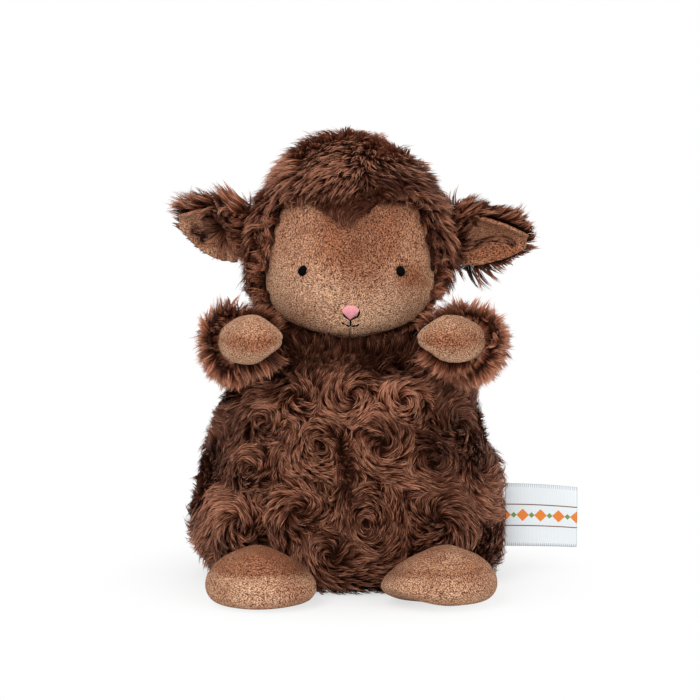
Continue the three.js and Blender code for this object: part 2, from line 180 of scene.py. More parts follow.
def puff(obj, pressure, cap):  # air pressed into the cloth, with each point's travel held to the cap
    before = pointsOf(obj)
    pickOnly(obj)
    bpy.ops.object.modifier_add(type="CLOTH")
    cloth = obj.modifiers[-1]
    cloth.settings.quality = 5
    cloth.settings.use_pressure = True
    cloth.settings.uniform_pressure_force = pressure
    cloth.settings.effector_weights.gravity = 0
    cloth.collision_settings.use_collision = False
    cloth.point_cache.frame_end = 20
    for number in range(1, 21):
        bpy.context.scene.frame_set(number)
    bpy.ops.object.modifier_apply(modifier=cloth.name)
    bpy.context.scene.frame_set(1)
    travel = pointsOf(obj) - before
    far = np.linalg.norm(travel, axis=1, keepdims=True)
    movePoints(obj, before + travel * np.minimum(1, cap * mm / np.maximum(far, 1e-9)))


def press(obj, depths):  # moves each point in from the surface, in mm
    movePoints(obj, pointsOf(obj) - normalsOf(obj) * depths[:, None] * mm)


def groove(obj, distance, depth, width):  # a sewn line presses the cloth in
    press(obj, depth * bell(distance, width * mm))


def thin(obj, depth, outerSide):  # takes a shell in from its outer side, so that the pile has room
    press(obj, outerSide(pointsOf(obj), normalsOf(obj)) * depth)


def fromFront(points, spots):  # soft spots seen from the front, each x, z, amount, reach
    return sum(amount * bell(np.hypot(points[:, 0] - x * mm, points[:, 2] - z * mm), reach * mm)
               for x, z, amount, reach in spots)


def swell(obj, middle, spots):  # moves the outline seen from the front
    points = pointsOf(obj)
    outwards = unit((points - middle) * [1, 0, 1])
    movePoints(obj, points + outwards * (fromFront(points, spots) * mm)[:, None])


def dress(obj, material, body, slot, *nodes, fill=None):
    obj.data.materials.clear()
    obj.data.materials.append(material)
    obj.data.shade_smooth()
    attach(obj, body)
    if nodes:
        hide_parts(*nodes)
    return obj


# Materials

def newMaterial(name):
    material = bpy.data.materials.new(name)
    material.use_nodes = True
    return material, material.node_tree


def connect(socket, value):  # a fixed value, or a link from another node
    if isinstance(value, bpy.types.NodeSocket):
        socket.id_data.links.new(value, socket)
    else:
        socket.default_value = value


# sources fill a node's first sockets, and a name is one of its settings or sockets, with _ for a space
def wire(made, *sources, **values):
    for name, value in values.items():
        socket = name.replace("_", " ")
        if socket in made.inputs:
            connect(made.inputs[socket], value)
        else:
            setattr(made, name, value)
    for socket, source in zip(made.inputs, sources):
        connect(socket, source)
    return made.outputs


def node(tree, kind, *sources, **values):
    return wire(tree.nodes.new("ShaderNode" + kind), *sources, **values)


def finishShader(material, **sockets):
    wire(material.node_tree.nodes["Principled BSDF"], **sockets)
    return material


def grain(tree, kind="Noise", stretch=None, **values):  # a texture that stays on its piece
    place = node(tree, "TexCoord")["Object"]
    if stretch:
        place = node(tree, "Mapping", Vector=place, Scale=stretch)["Vector"]
    return node(tree, "Tex" + kind, Vector=place, **values)[0]


def onCloth(tree, layer):  # the run and the height on a piece's own map
    return node(tree, "SeparateXYZ", Vector=node(tree, "UVMap", uv_map=layer)["UV"])


def calculate(operation, *values):
    tree = next(value for value in values if isinstance(value, bpy.types.NodeSocket)).id_data
    return node(tree, "Math", *values, operation=operation)[0]


def colourRamp(source, stops):
    made = source.id_data.nodes.new("ShaderNodeValToRGB")
    elements = made.color_ramp.elements
    while len(elements) < len(stops):
        elements.new(0.5)
    for element, (place, colour) in zip(elements, stops):
        element.position = place
        element.color = colour
    return wire(made, source)["Color"]


def mixColour(share, first, second):
    return node(share.id_data, "Mix", data_type="RGBA", Factor=share, A=first, B=second)["Result"]


def relief(height, strength, depth, **values):
    return node(height.id_data, "Bump", Height=height, Strength=strength, Distance=depth * mm, **values)["Normal"]


furLook = {
    # mixed by each lock's tone, which carries painted light and shade; darker at the root, partly the fur's own
    # colour and partly painted shade deep in the pile
    "deep": [(0.0, paint(18, 6, 2)), (0.45, paint(46, 19, 9)), (1.0, paint(80, 38, 24))],
    "light": [(0.0, paint(40, 16, 8)), (0.45, paint(136, 77, 53)), (1.0, paint(232, 166, 134))],
    "shader": dict(Roughness=0.38, Specular_IOR_Level=0.42, Specular_Tint=paint(255, 190, 160), Sheen_Weight=0.12,
                   Sheen_Roughness=0.4, Sheen_Tint=paint(205, 140, 110)),
}


def furMaterial():  # across a lock is its tone, along it the change from root to tip
    material, tree = newMaterial("brown_fur")
    place = onCloth(tree, "OFBake")
    deep, light = (colourRamp(place["Y"], furLook[side]) for side in ("deep", "light"))
    return finishShader(material, Base_Color=mixColour(place["X"], deep, light), **furLook["shader"])


velourLook = {
    # pits, ground and flecks, the flecks partly painted glints: in painted shade where the nap is laid away from the
    # light, and in painted light where it is laid towards it
    "low": [(0.0, paint(66, 28, 14)), (0.5, paint(108, 60, 38)), (1.0, paint(190, 126, 92))],
    "high": [(0.0, paint(100, 56, 34)), (0.5, paint(172, 117, 84)), (1.0, paint(255, 214, 178))],
    "shadow": paint(34, 14, 8),
    "streaks": dict(Scale=2900, Detail=1, Distortion=1.0),
    "level": (0.38, 1, 1.25),  # how the streaks are stretched, lying and standing
    "upright": (1.25, 1, 0.38),
    "relief": (0.8, 0.25),
    "shader": dict(Roughness=0.8, Specular_IOR_Level=0.1, Sheen_Weight=0.1, Sheen_Roughness=0.14,
                   Sheen_Tint=paint(244, 184, 148)),
}


def velourMaterial():  # short pile: fine crooked streaks whose direction and strength change from patch to patch
    material, tree = newMaterial("light_brown_velour")

    def laid(name):
        return node(tree, "Attribute", attribute_name=name)["Fac"]

    level, upright = (grain(tree, stretch=velourLook[way], **velourLook["streaks"]) for way in ("level", "upright"))
    turning = calculate("MULTIPLY_ADD", grain(tree, Scale=70, Detail=1), 6, -2.5)
    turning = calculate("SMOOTH_MIN", 1, calculate("SMOOTH_MAX", 0, turning, 0.1), 0.1)
    pile = calculate("MULTIPLY_ADD", calculate("SUBTRACT", upright, level), turning, level)
    strength = calculate("MULTIPLY_ADD", grain(tree, Scale=95, Detail=1), 26, -3)
    streaks = calculate("MULTIPLY_ADD", calculate("SUBTRACT", pile, 0.5), strength, 0.5)
    # the nap with its painted light and shade chooses between the painted-shade and painted-light colours
    napAndLightShare = calculate("MULTIPLY_ADD", grain(tree, Scale=42, Detail=2), 0.5, laid("napAndPaintedLight"))
    napAndLightShare = calculate("SUBTRACT", napAndLightShare, 0.25)
    napAndLightShare.node.use_clamp = True
    low, high = (colourRamp(streaks, velourLook[side]) for side in ("low", "high"))
    colour = mixColour(laid("shadow"), mixColour(napAndLightShare, low, high), velourLook["shadow"])
    return finishShader(material, Base_Color=colour, Normal=relief(pile, *velourLook["relief"]),
                        **velourLook["shader"])


ribbonLook = {"length": 73.2, "width": 31.7, "cloth": paint(235, 241, 243), "thread": paint(216, 223, 229),
              "orange": paint(232, 132, 52), "green": paint(118, 150, 72), "brown": paint(122, 92, 70),
              "selvedge": paint(176, 184, 194), "pitch": 9.0, "large": 3.2, "small": 1.5, "line": 5.4,
              "lineWidth": 0.28, "edge": 14.2, "warp": 9.0, "weft": 14.0, "edgeStitch": 6.0}


def ribbonMaterial():  # pale damask with a woven row of diamonds, plain selvedges above and below
    material, tree = newMaterial("woven_ribbon")
    place = onCloth(tree, "UVMap")
    run = calculate("MULTIPLY", place["X"], ribbonLook["length"])
    rise = calculate("MULTIPLY", calculate("SUBTRACT", place["Y"], 0.5), ribbonLook["width"])
    height = calculate("ABSOLUTE", rise)

    def diamonds(shift, size):
        step = calculate("ADD", calculate("DIVIDE", run, ribbonLook["pitch"]), shift)
        across = calculate("ABSOLUTE", calculate("SUBTRACT", calculate("FRACT", step), 0.5))
        across = calculate("MULTIPLY", across, ribbonLook["pitch"])
        return calculate("LESS_THAN", calculate("ADD", across, height), size)

    def waves(way, pace):
        return calculate("SINE", calculate("MULTIPLY", way, ribbonLook[pace]))

    warp, weft = (calculate("MULTIPLY_ADD", waves(*way), 0.5, 0.5) for way in ((run, "warp"), (rise, "weft")))
    weave = calculate("MULTIPLY", warp, weft)
    stitched = calculate("GREATER_THAN", waves(run, "edgeStitch"), 0.2)
    selvedge = calculate("MULTIPLY", calculate("GREATER_THAN", height, ribbonLook["edge"]), stitched)
    colour = ribbonLook["cloth"]
    for share, thread in ((weave, "thread"), (diamonds(0.5, ribbonLook["large"]), "orange"),
                          (diamonds(0.0, ribbonLook["small"]), "green"),
                          (calculate("COMPARE", height, ribbonLook["line"], ribbonLook["lineWidth"]), "brown"),
                          (calculate("MULTIPLY", selvedge, 0.7), "selvedge")):
        colour = mixColour(share, colour, ribbonLook[thread])
    return finishShader(material, Roughness=0.6, Specular_IOR_Level=0.3, Base_Color=colour,
                        Normal=relief(weave, 0.4, 0.12))


def grainyMaterial(name, texture, stops, bump=None, **sockets):  # one texture for colour and relief
    material, tree = newMaterial(name)
    pattern = grain(tree, **texture)
    if bump:
        sockets["Normal"] = relief(pattern, **bump)
    return finishShader(material, Base_Color=colourRamp(pattern, stops), **sockets)


def threadMaterial(name, dark, light, gloss):
    return grainyMaterial(name, dict(Scale=2500, Detail=2), [(0.3, dark), (0.7, light)], Roughness=0.5,
                          Specular_IOR_Level=gloss)


fur = furMaterial()
velour = velourMaterial()
ribbon = ribbonMaterial()
# the backing that the pile stands in: its own dark brown, deepened to the painted shade deep in the pile
backing = grainyMaterial("fur_backing", dict(Scale=700, Detail=3),
                         [(0.3, paint(30, 14, 8)), (0.7, paint(62, 32, 21))], Roughness=0.95, Specular_IOR_Level=0.1)
fibre = grainyMaterial("fibre_filling", dict(Scale=160, Detail=6, Distortion=1),
                       [(0.3, paint(212, 208, 200)), (0.7, paint(246, 244, 240))],
                       dict(strength=0.6, depth=1.2), Roughness=0.95)
bagCloth = grainyMaterial("pellet_bag_cotton", dict(kind="Voronoi", Scale=280),  # drawn tight over small pellets
                          [(0.2, paint(226, 220, 208)), (0.7, paint(196, 188, 172))],
                          dict(strength=0.7, depth=0.8, invert=True), Roughness=0.85)
blackThread = threadMaterial("black_thread", paint(1, 1, 1), paint(8, 7, 8), 0.05)
pinkThread = threadMaterial("pink_thread", paint(214, 128, 138), paint(245, 178, 184), 0.3)
print("materials made")


# Camera, set where the photograph was taken from

camera = {"elevation": 6, "distance": 1300, "targetHeight": 114.5, "pixelsPerMm": 2, "pictureWidth": 700}
tilt = math.radians(camera["elevation"])
lineOfSight = Vector((0, math.cos(tilt), -math.sin(tilt)))
rightwards = Vector((1, 0, 0))
upwards = rightwards.cross(lineOfSight)
target = Vector((0, 0, camera["targetHeight"] * mm))
eyePoint = target - lineOfSight * camera["distance"] * mm
bpy.ops.object.camera_add(location=eyePoint, rotation=(math.radians(90 - camera["elevation"]), 0, 0))
lens = bpy.context.object
lens.data.sensor_width = 36
lens.data.lens = lens.data.sensor_width * camera["distance"] / (camera["pictureWidth"] / camera["pixelsPerMm"])
lens.data.clip_start = 0.05
bpy.context.scene.camera = lens
halfPicture = camera["pictureWidth"] / 2
sightScale = camera["pixelsPerMm"] * camera["distance"]


def sightLine(across, down):  # the ray through one pixel of the photograph
    return (lineOfSight + rightwards * (across - halfPicture) / sightScale
            + upwards * (halfPicture - down) / sightScale).normalized()


def pixelsOf(points):  # where points lie in the photograph
    away = points - np.array(eyePoint)
    depth = away @ np.array(lineOfSight)
    return np.stack([halfPicture + sightScale * away[:, 0] / depth,
                     halfPicture - sightScale * (away @ np.array(upwards)) / depth], 1)


def fromLine(pixels, legs):  # the way in pixels from a line drawn over the photograph, and its length
    legs = np.array(legs, float)
    way, nearest = np.zeros((len(pixels), 2)), np.full(len(pixels), 1e9)
    for start, end in zip(legs[:-1], legs[1:]):
        leg = end - start
        share = np.clip(((pixels - start) @ leg) / (leg @ leg), 0, 1)
        apart = pixels - start - share[:, None] * leg
        distance = np.linalg.norm(apart, axis=1)
        closer = distance < nearest
        way[closer], nearest[closer] = apart[closer], distance[closer]
    return way, nearest


def within(pixels, corners):  # which pixels lie inside an outline drawn over the photograph
    inside = np.zeros(len(pixels), bool)
    corners = np.array(corners, float)
    for (ax, ay), (bx, by) in zip(corners, np.roll(corners, -1, 0)):
        crosses = (ay > pixels[:, 1]) != (by > pixels[:, 1])
        reach = ax + (pixels[:, 1] - ay) * (bx - ax) / ((by - ay) if by != ay else 1e-9)
        inside ^= crosses & (pixels[:, 0] < reach)
    return inside


def spotOn(tree, pixel):
    return tree.ray_cast(eyePoint, sightLine(*pixel))[:2]


def onPicture(points, spots):  # soft spots drawn over the photograph: pixel, amount, reach across and down
    pixels = pixelsOf(points)
    return sum(amount * np.exp(-((pixels[:, 0] - across) / wide) ** 2 - ((pixels[:, 1] - down) / high) ** 2)
               for across, down, amount, wide, high in spots)


# Pile: locks of fur that follow a flow over a skin

def scatter(skin, spacing, seed, wanted=None):  # roots at least one spacing apart
    rng = np.random.default_rng(seed)
    points, normals, triangles = pointsOf(skin), normalsOf(skin), trianglesOf(skin)
    a, b, c = (points[triangles[:, i]] for i in range(3))
    area = np.linalg.norm(np.cross(b - a, c - a), axis=1) / 2
    count = int(4 * area.sum() / spacing**2)
    picked = rng.choice(len(area), count, p=area / area.sum())
    s, t = np.sqrt(rng.random(count)), rng.random(count)
    weights = np.stack([1 - s, s * (1 - t), s * t], 1)[:, :, None]
    roots = (weights * points[triangles[picked]]).sum(1)
    facing = unit((weights * normals[triangles[picked]]).sum(1))
    if wanted is not None:
        kept = wanted(roots, facing)
        roots, facing = roots[kept], facing[kept]
    taken, chosen = {}, []
    for i, cell in enumerate(map(tuple, np.floor(roots / spacing).astype(int))):
        around = (taken.get((cell[0] + x, cell[1] + y, cell[2] + z), ())
                  for x in (-1, 0, 1) for y in (-1, 0, 1) for z in (-1, 0, 1))
        if all(np.abs(roots[j] - roots[i]).max() > spacing or np.linalg.norm(roots[j] - roots[i]) > spacing
               for group in around for j in group):
            taken.setdefault(cell, []).append(i)
            chosen.append(i)
    return roots[chosen], facing[chosen]


def growGuides(roots, facing, flow, style, rng):  # each guide rises from the skin and lies down along the flow
    steps = style["steps"]
    lengths = style["length"] * mm * (1 + style["lengthSpread"] * rng.uniform(-1, 1, len(roots)))
    if "lengthAt" in style:
        lengths = lengths * style["lengthAt"](roots)
    first = np.radians(style["rise"] + style["riseSpread"] * rng.uniform(-1, 1, len(roots)))
    last = np.radians(style["lie"] + style["lieSpread"] * rng.uniform(-1, 1, len(roots)))
    at = roots.copy()
    path = [at]
    for k in range(steps):
        along = flow(at, facing)
        along = unit(along - facing * (along * facing).sum(1, keepdims=True))
        lean = (first + (last - first) * (k / (steps - 1)) ** 0.8)[:, None]
        at = at + (np.sin(lean) * along + np.cos(lean) * facing) * (lengths / steps)[:, None]
        path.append(at)
    return np.stack(path, 1)


def growLocks(roots, facing, flow, style, seed, tone):  # guides first, then the locks round each
    rng = np.random.default_rng(seed)
    guides = growGuides(roots, facing, flow, style, rng)
    count, perGuide, joints = len(roots), style["locks"], 4
    sideways = unit(np.cross(facing, rng.normal(size=(count, 3))))
    forwards = np.cross(facing, sideways)
    radius = style["spacing"] * style["spread"] * mm * np.sqrt(rng.random((count, perGuide, 1)))
    angle = rng.uniform(0, 2 * math.pi, (count, perGuide, 1))
    offset = radius * (np.cos(angle) * sideways[:, None] + np.sin(angle) * forwards[:, None])
    share = rng.uniform(1 - style["shorter"], 1, (count, perGuide, 1)) * np.arange(joints + 1) / joints
    place = share * style["steps"]
    below = np.minimum(place.astype(int), style["steps"] - 1)
    part = (place - below)[..., None]
    row = np.arange(count)[:, None, None]
    path = guides[row, below] * (1 - part) + guides[row, below + 1] * part
    pull = style["clump"] * rng.uniform(0.5, 1.1, (count, perGuide, 1, 1))
    gather = (1 - pull * smoothStep(0.1, 1.0, share)[..., None])
    stray = rng.normal(size=(count, perGuide, 1, 3)) * style["frizz"] * mm
    wild = rng.random((count, perGuide, 1, 1)) < style["wild"]
    stray = stray * np.where(wild, 3.0, 1.0)
    locks = path + offset[:, :, None] * gather + stray * (share[..., None] ** 2)
    locks = locks.reshape(-1, joints + 1, 3)
    normals = np.repeat(facing, perGuide, 0)
    shade = np.repeat(tone(roots, rng), perGuide) + style["toneSpread"] * rng.normal(size=len(locks))
    if "floor" in style:
        locks[:, :, 2] = np.maximum(locks[:, :, 2], style["floor"] * mm)
    return locks, normals, np.clip(shade, 0.03, 0.97)


def lockMesh(name, locks, normals, shade, width, seed):  # flat tapering blades, 7 triangles each
    rng = np.random.default_rng(seed)
    count, joints = len(locks), locks.shape[1] - 1
    along = unit(np.gradient(locks, axis=1))
    flat = unit(np.cross(along, normals[:, None]))
    roll = rng.uniform(-0.6, 0.6, (count, 1, 1))
    across = unit(flat * np.cos(roll) + np.cross(along, flat) * np.sin(roll))
    taper = np.array([0.75, 1.0, 0.85, 0.55])[None, :, None]
    half = across[:, :-1] * taper * (width * mm / 2) * rng.uniform(0.7, 1.3, (count, 1, 1))
    size = 2 * joints + 1
    corners = np.empty((count, size, 3))
    corners[:, 0:-1:2] = locks[:, :-1] - half
    corners[:, 1:-1:2] = locks[:, :-1] + half
    corners[:, -1] = locks[:, -1]
    pattern = np.array([j + k for j in range(0, size - 3, 2) for k in (0, 1, 3, 2)] + [size - 3, size - 2, size - 1])
    loops = np.arange(count)[:, None] * size + pattern
    sides = np.tile([4] * (joints - 1) + [3], count)
    mesh = bpy.data.meshes.new(name)
    for items, amount, kind, values in ((mesh.vertices, count * size, "co", corners.astype(np.float32)),
                                        (mesh.loops, loops.size, "vertex_index", loops.astype(np.int32)),
                                        (mesh.polygons, len(sides), "loop_start",
                                         (np.cumsum(sides) - sides).astype(np.int32))):
        items.add(amount)
        items.foreach_set(kind, values.ravel())
    mesh.update(calc_edges=True)
    edge = np.array([-1, 1] * joints + [0]) * 0.02
    height = np.append(np.repeat(np.arange(joints), 2), joints) / joints
    place = np.empty((count, len(pattern), 2), np.float32)
    place[:, :, 0] = np.clip(shade[:, None] + edge[pattern], 0.005, 0.995)
    place[:, :, 1] = 0.02 + 0.96 * height[pattern]
    mesh.uv_layers.new(name="OFBake").data.foreach_set("uv", place.ravel())
    obj = bpy.data.objects.new(name, mesh)
    bpy.context.scene.collection.objects.link(obj)
    return obj


def furOn(skin, style, seed, flow, tone, wanted=None):
    roots, facing = scatter(skin, style["spacing"] * mm, seed, wanted)
    return growLocks(roots, facing, flow, style, seed + 1, tone)


def together(*grown):
    return [np.concatenate(part) for part in zip(*grown)]


def coat(names, grown, style, seed, body, sort=None):  # one piece of pile for each name
    locks, normals, shade = grown
    which = sort(locks[:, 0]) if sort else np.zeros(len(locks))
    for i, name in enumerate(names):
        mine = which == i
        piece = lockMesh(name, locks[mine], normals[mine], shade[mine], style["width"], seed + i)
        dress(piece, fur, body, "fur")
        print(name, "has", int(mine.sum()) * 7, "triangles")


def drift(seed, wavelength):  # a slow, even wandering of direction over the whole toy
    rng = np.random.default_rng(seed)
    waves = rng.normal(size=(6, 3)) * 2 * math.pi / (wavelength * mm) / 1.7
    phases = rng.uniform(0, 2 * math.pi, 6)
    pushes = rng.normal(size=(6, 3)) / 2
    return lambda points: np.sin(points @ waves.T + phases) @ pushes


pile = {"steps": 7, "length": 10.5, "lengthSpread": 0.22, "rise": 32, "riseSpread": 14, "lie": 84, "lieSpread": 12,
        "spacing": 2.0, "spread": 0.95, "locks": 13, "shorter": 0.45, "clump": 0.6, "frizz": 0.4, "wild": 0.08,
        "toneSpread": 0.33, "width": 0.46}


def whorlFlow(points, facing, centres, turns):  # round the nearest whorl, and outwards near its middle
    apart = apartFrom(points[:, None], centres)
    closest = apart.min(1, keepdims=True)
    weights = np.exp((closest**2 - apart**2) / (8 * mm) ** 2)[:, :, None]
    outwards = points[:, None] - centres[None]
    outwards = unit(outwards - facing[:, None] * (outwards * facing[:, None]).sum(2, keepdims=True))
    around = np.cross(facing[:, None], outwards)
    turn = np.radians(turns[None] * (1 - 0.35 * (1 - fadeIn(1, 7, closest))))[:, :, None]
    return unit(((np.cos(turn) * outwards + np.sin(turn) * around) * weights).sum(1))


def spreadWhorls(skin, spacing, seed, first=()):  # at like distances all round, after the ones that are given
    centres = [np.array(spot) for spot in first]
    for other in scatter(skin, spacing * mm, seed)[0]:
        if not centres or min(np.linalg.norm(other - centre) for centre in centres) > spacing * 0.8 * mm:
            centres.append(other)
    rng = np.random.default_rng(seed)
    turns = rng.uniform(52, 92, len(centres)) * np.where(rng.random(len(centres)) < 0.7, 1, -1)
    return np.array(centres), turns  # degrees from straight out towards straight round


def aboveSkin(tree, points, clearance):  # lifts what has sunk through a skin back over it
    lifted = points.reshape(-1, 3).copy()
    for i, point in enumerate(lifted):
        spot, normal, _, _ = tree.find_nearest(Vector(point), 8 * mm)
        if spot is not None and (Vector(point) - spot).dot(normal) < clearance * mm:
            lifted[i] = spot + normal * clearance * mm
    return lifted.reshape(points.shape)


def lengthField(spots):  # fur longer or shorter round a few spots
    return lambda points: np.clip(1 + fromFront(points, spots), 0.25, 2.5)


def setNapAndPaintedLight(obj, values, shadow=None):  # how the pile is laid together with painted light and shade, and the painted shadow in folds, seams and other shaded places
    for name, amounts in (("napAndPaintedLight", values), ("shadow", 0 * values if shadow is None else shadow)):
        made = obj.data.attributes.new(name, "FLOAT", "POINT")
        made.data.foreach_set("value", np.clip(amounts, 0, 1).astype(np.float32))


def fillWith(name, node, body, fill, voxel=3.5, material=fibre, slot="fibre_filling"):  # lumpy stuffing
    obj = stuffed(name, [node], voxel, passes=5, inset=1.0)
    press(obj, 0.5 + 0.5 * np.clip(lumpWander(pointsOf(obj))[:, 0], -1, 1))
    return dress(obj, material, body, slot, node, fill=fill)


wander = drift(3, 34)
shadeWander = drift(8, 26)
lumpWander = drift(12, 14)


# Torso

torso = {
    "skin": dict(voxel=3.2, passes=6, inset=3.6),
    "seed": 21,
    "whorlSeed": 11,
    "whorlSpacing": 27,
    "bulge": 2.2,
    # the whorls that the photograph shows on the belly, by pixel
    "whorlPixels": [(298, 398), (352, 400), (322, 445), (383, 445), (297, 510), (365, 520), (440, 520), (240, 520),
                    (255, 470), (430, 465), (475, 470), (400, 400), (268, 420), (330, 555), (400, 372), (300, 362)],
    "creasePixels": [[(341, 440), (343, 456), (346, 472)], [(346, 472), (352, 484), (357, 497)],
                     [(346, 472), (337, 480), (326, 490)], [(262, 490), (282, 484), (302, 480), (312, 487)]],
    "creaseDepth": 6,
    "creaseReach": 2.6,
    "flapPixel": (341, 487),
    "flapHeight": 3.5,
    "outline": [(-80, 30, 1.5, 24), (-74, 72, 1.2, 20), (-80, 15, 1.5, 8), (68, 79, -2, 12), (69, 69, -1.5, 5),
                (77, 56, 7, 8), (75, 9, 4.5, 9), (-78, 22, 1.5, 7), (-72, 88, 2.6, 6), (66, 88, -2, 9)],
    # spots of painted light (above zero) and painted shade (below zero), by pixel
    "paintedLightAndShade": [(304, 329, -0.6, 20, 11), (350, 345, -0.3, 60, 9), (396, 331, -0.4, 22, 10),
               (388, 404, 0.75, 34, 15), (308, 466, 0.35, 22, 12), (236, 445, -0.5, 22, 50),
               (440, 450, -0.55, 28, 62), (355, 508, -0.4, 16, 30), (280, 528, -0.4, 18, 20),
               (226, 505, 0.5, 24, 30)],
    "tone": 0.1,
    "seatHeight": 1.2,
    "coat": dict(pile, floor=0.35, clump=0.72),
}

torsoCovers = ["body_front_panel", "body_back_panel", "seat_panel"]
torsoSkin = stuffed("torso_backing", torsoCovers + ["body_filling", "pellet_pouch"], **torso["skin"])
swell(torsoSkin, np.array([0, 0, 50 * mm]), torso["outline"])
torsoTree = treeOf(torsoSkin)
seen = [spotOn(torsoTree, pixel)[0] for pixel in torso["whorlPixels"]]
seen = [spot for spot in seen if spot is not None]
whorls, whorlTurns = spreadWhorls(torsoSkin, torso["whorlSpacing"], torso["whorlSeed"], seen)
flap = np.array(spotOn(torsoTree, torso["flapPixel"])[0])


def nearFlap(points):
    return bell(apartFrom(points, flap), 6 * mm)


def nearCrease(points, reach=1.0):  # in the folds of the belly, seen from the front
    pixels = pixelsOf(points)
    apart = np.min([fromLine(pixels, legs)[1] for legs in torso["creasePixels"]], axis=0)
    return bell(apart, 2 * reach * torso["creaseReach"]) * (points[:, 1] < 0)


def torsoFlow(points, facing):
    flow = whorlFlow(points, facing, whorls, whorlTurns) + 0.3 * wander(points) + 0.3 * lumpWander(points)
    way, apart = fromLine(pixelsOf(points), torso["creasePixels"][0])
    parting = np.stack([way[:, 0], 0 * apart, -way[:, 1]], 1) / np.maximum(apart, 0.3)[:, None]
    near = bell(apart, 13) * (points[:, 1] < 0)
    return flow + 2.4 * near[:, None] * parting + 2 * nearFlap(points)[:, None] * np.array([-0.3, 0, -1])


def torsoTone(points, rng):
    closest = toNearest(points, whorls)
    # painted shade in the pit at each whorl's middle, and a little in the valleys between whorls
    whorlPitShade = fadeIn(1.5, 8, closest) - 0.08 * fadeIn(11, 17, closest)
    arcs = 0.07 * np.sin(closest * 2 * math.pi / (2.7 * mm))
    inFront = 1 - fadeIn(-8, 8, points[:, 1])
    # painted light and shade in spots, and painted shadow under the head towards the top
    paintedLightAndShade = onPicture(points, torso["paintedLightAndShade"]) - 0.22 * fadeIn(92, 108, points[:, 2])
    # painted light on the sides
    sides = 0.1 * fadeIn(45, 72, np.abs(points[:, 0]))
    # painted shade in the belly's folds and a painted highlight on the raised flap
    return (torso["tone"] + 0.25 * whorlPitShade + sides + arcs + 0.1 * shadeWander(points)[:, 0]
            + 0.14 * rng.normal(size=len(points)) - 0.5 * nearCrease(points) + 0.14 * nearFlap(points)
            + inFront * paintedLightAndShade)


points = pointsOf(torsoSkin)
closest = toNearest(points, whorls)
lift = torso["bulge"] * (1 - fadeIn(4, 15, closest)) - 0.8 * torso["bulge"] * (1 - fadeIn(0, 4, closest))
lift *= fadeIn(8, 20, points[:, 2])
lift -= torso["creaseDepth"] * nearCrease(points)
lift += torso["flapHeight"] * nearFlap(points)
press(torsoSkin, -lift)
points = pointsOf(torsoSkin)
points[:, 2] = np.maximum(points[:, 2], torso["seatHeight"] * mm)
movePoints(torsoSkin, points)
dress(torsoSkin, backing, "torso", "fur", *torsoCovers, fill=0.8)
torsoStuffing = fillWith("torso_stuffing", "body_filling", "torso", fill=0.8)
press(torsoStuffing, 9 * nearCrease(pointsOf(torsoStuffing), 1.8))
fillWith("pellet_bag", "pellet_pouch", "torso", fill=0.5, voxel=2.5, material=bagCloth, slot="pellet_bag")


def torsoPart(places):
    quarter = (places[:, 0] < 0) + 2 * (places[:, 1] > -8 * mm) + 2 * (places[:, 1] > 22 * mm)
    return np.where(places[:, 2] < 6 * mm, 6, quarter)


torso["coat"]["lengthAt"] = lambda points: 1 - 0.6 * nearCrease(points)
coat(["torso_fur_front_left", "torso_fur_front_right", "torso_fur_side_left", "torso_fur_side_right",
      "torso_fur_back_left", "torso_fur_back_right", "torso_fur_seat"],
     furOn(torsoSkin, torso["coat"], torso["seed"], torsoFlow, torsoTone), torso["coat"], torso["seed"] + 2,
     "torso", torsoPart)

# the fur that stands up round the neck and closes the gap under the chin
collar = {"low": 106, "inner": 20, "outer": 40, "seed": 24,
          "coat": dict(pile, length=16, rise=2, lie=38, lieSpread=14)}


def roundNeck(places, facing):
    reach = np.hypot(places[:, 0], places[:, 1])
    return (places[:, 2] > collar["low"] * mm) & (reach < collar["outer"] * mm) & (facing[:, 2] > 0.3)


def collarLength(places):  # longest at both sides of the neck, between the head and the arms
    reach = np.hypot(places[:, 0], places[:, 1])
    behind = fadeIn(-4, 14, places[:, 1])
    beside = np.exp(-(((np.abs(places[:, 0]) - 33 * mm) / (8 * mm)) ** 2) - (places[:, 1] / (12 * mm)) ** 2)
    return 1 - (0.05 + 0.5 * behind) * fadeIn(collar["inner"], collar["outer"], reach) + 0.4 * beside


def collarFlow(points, facing):
    return unit(points * [1, 1, 0]) + 0.4 * wander(points)


collar["coat"]["lengthAt"] = collarLength
grown = furOn(torsoSkin, collar["coat"], collar["seed"], collarFlow, torsoTone, roundNeck)
coat(["torso_fur_collar"], grown, collar["coat"], collar["seed"] + 2, "torso")
print("torso made")


# Head: face and hood

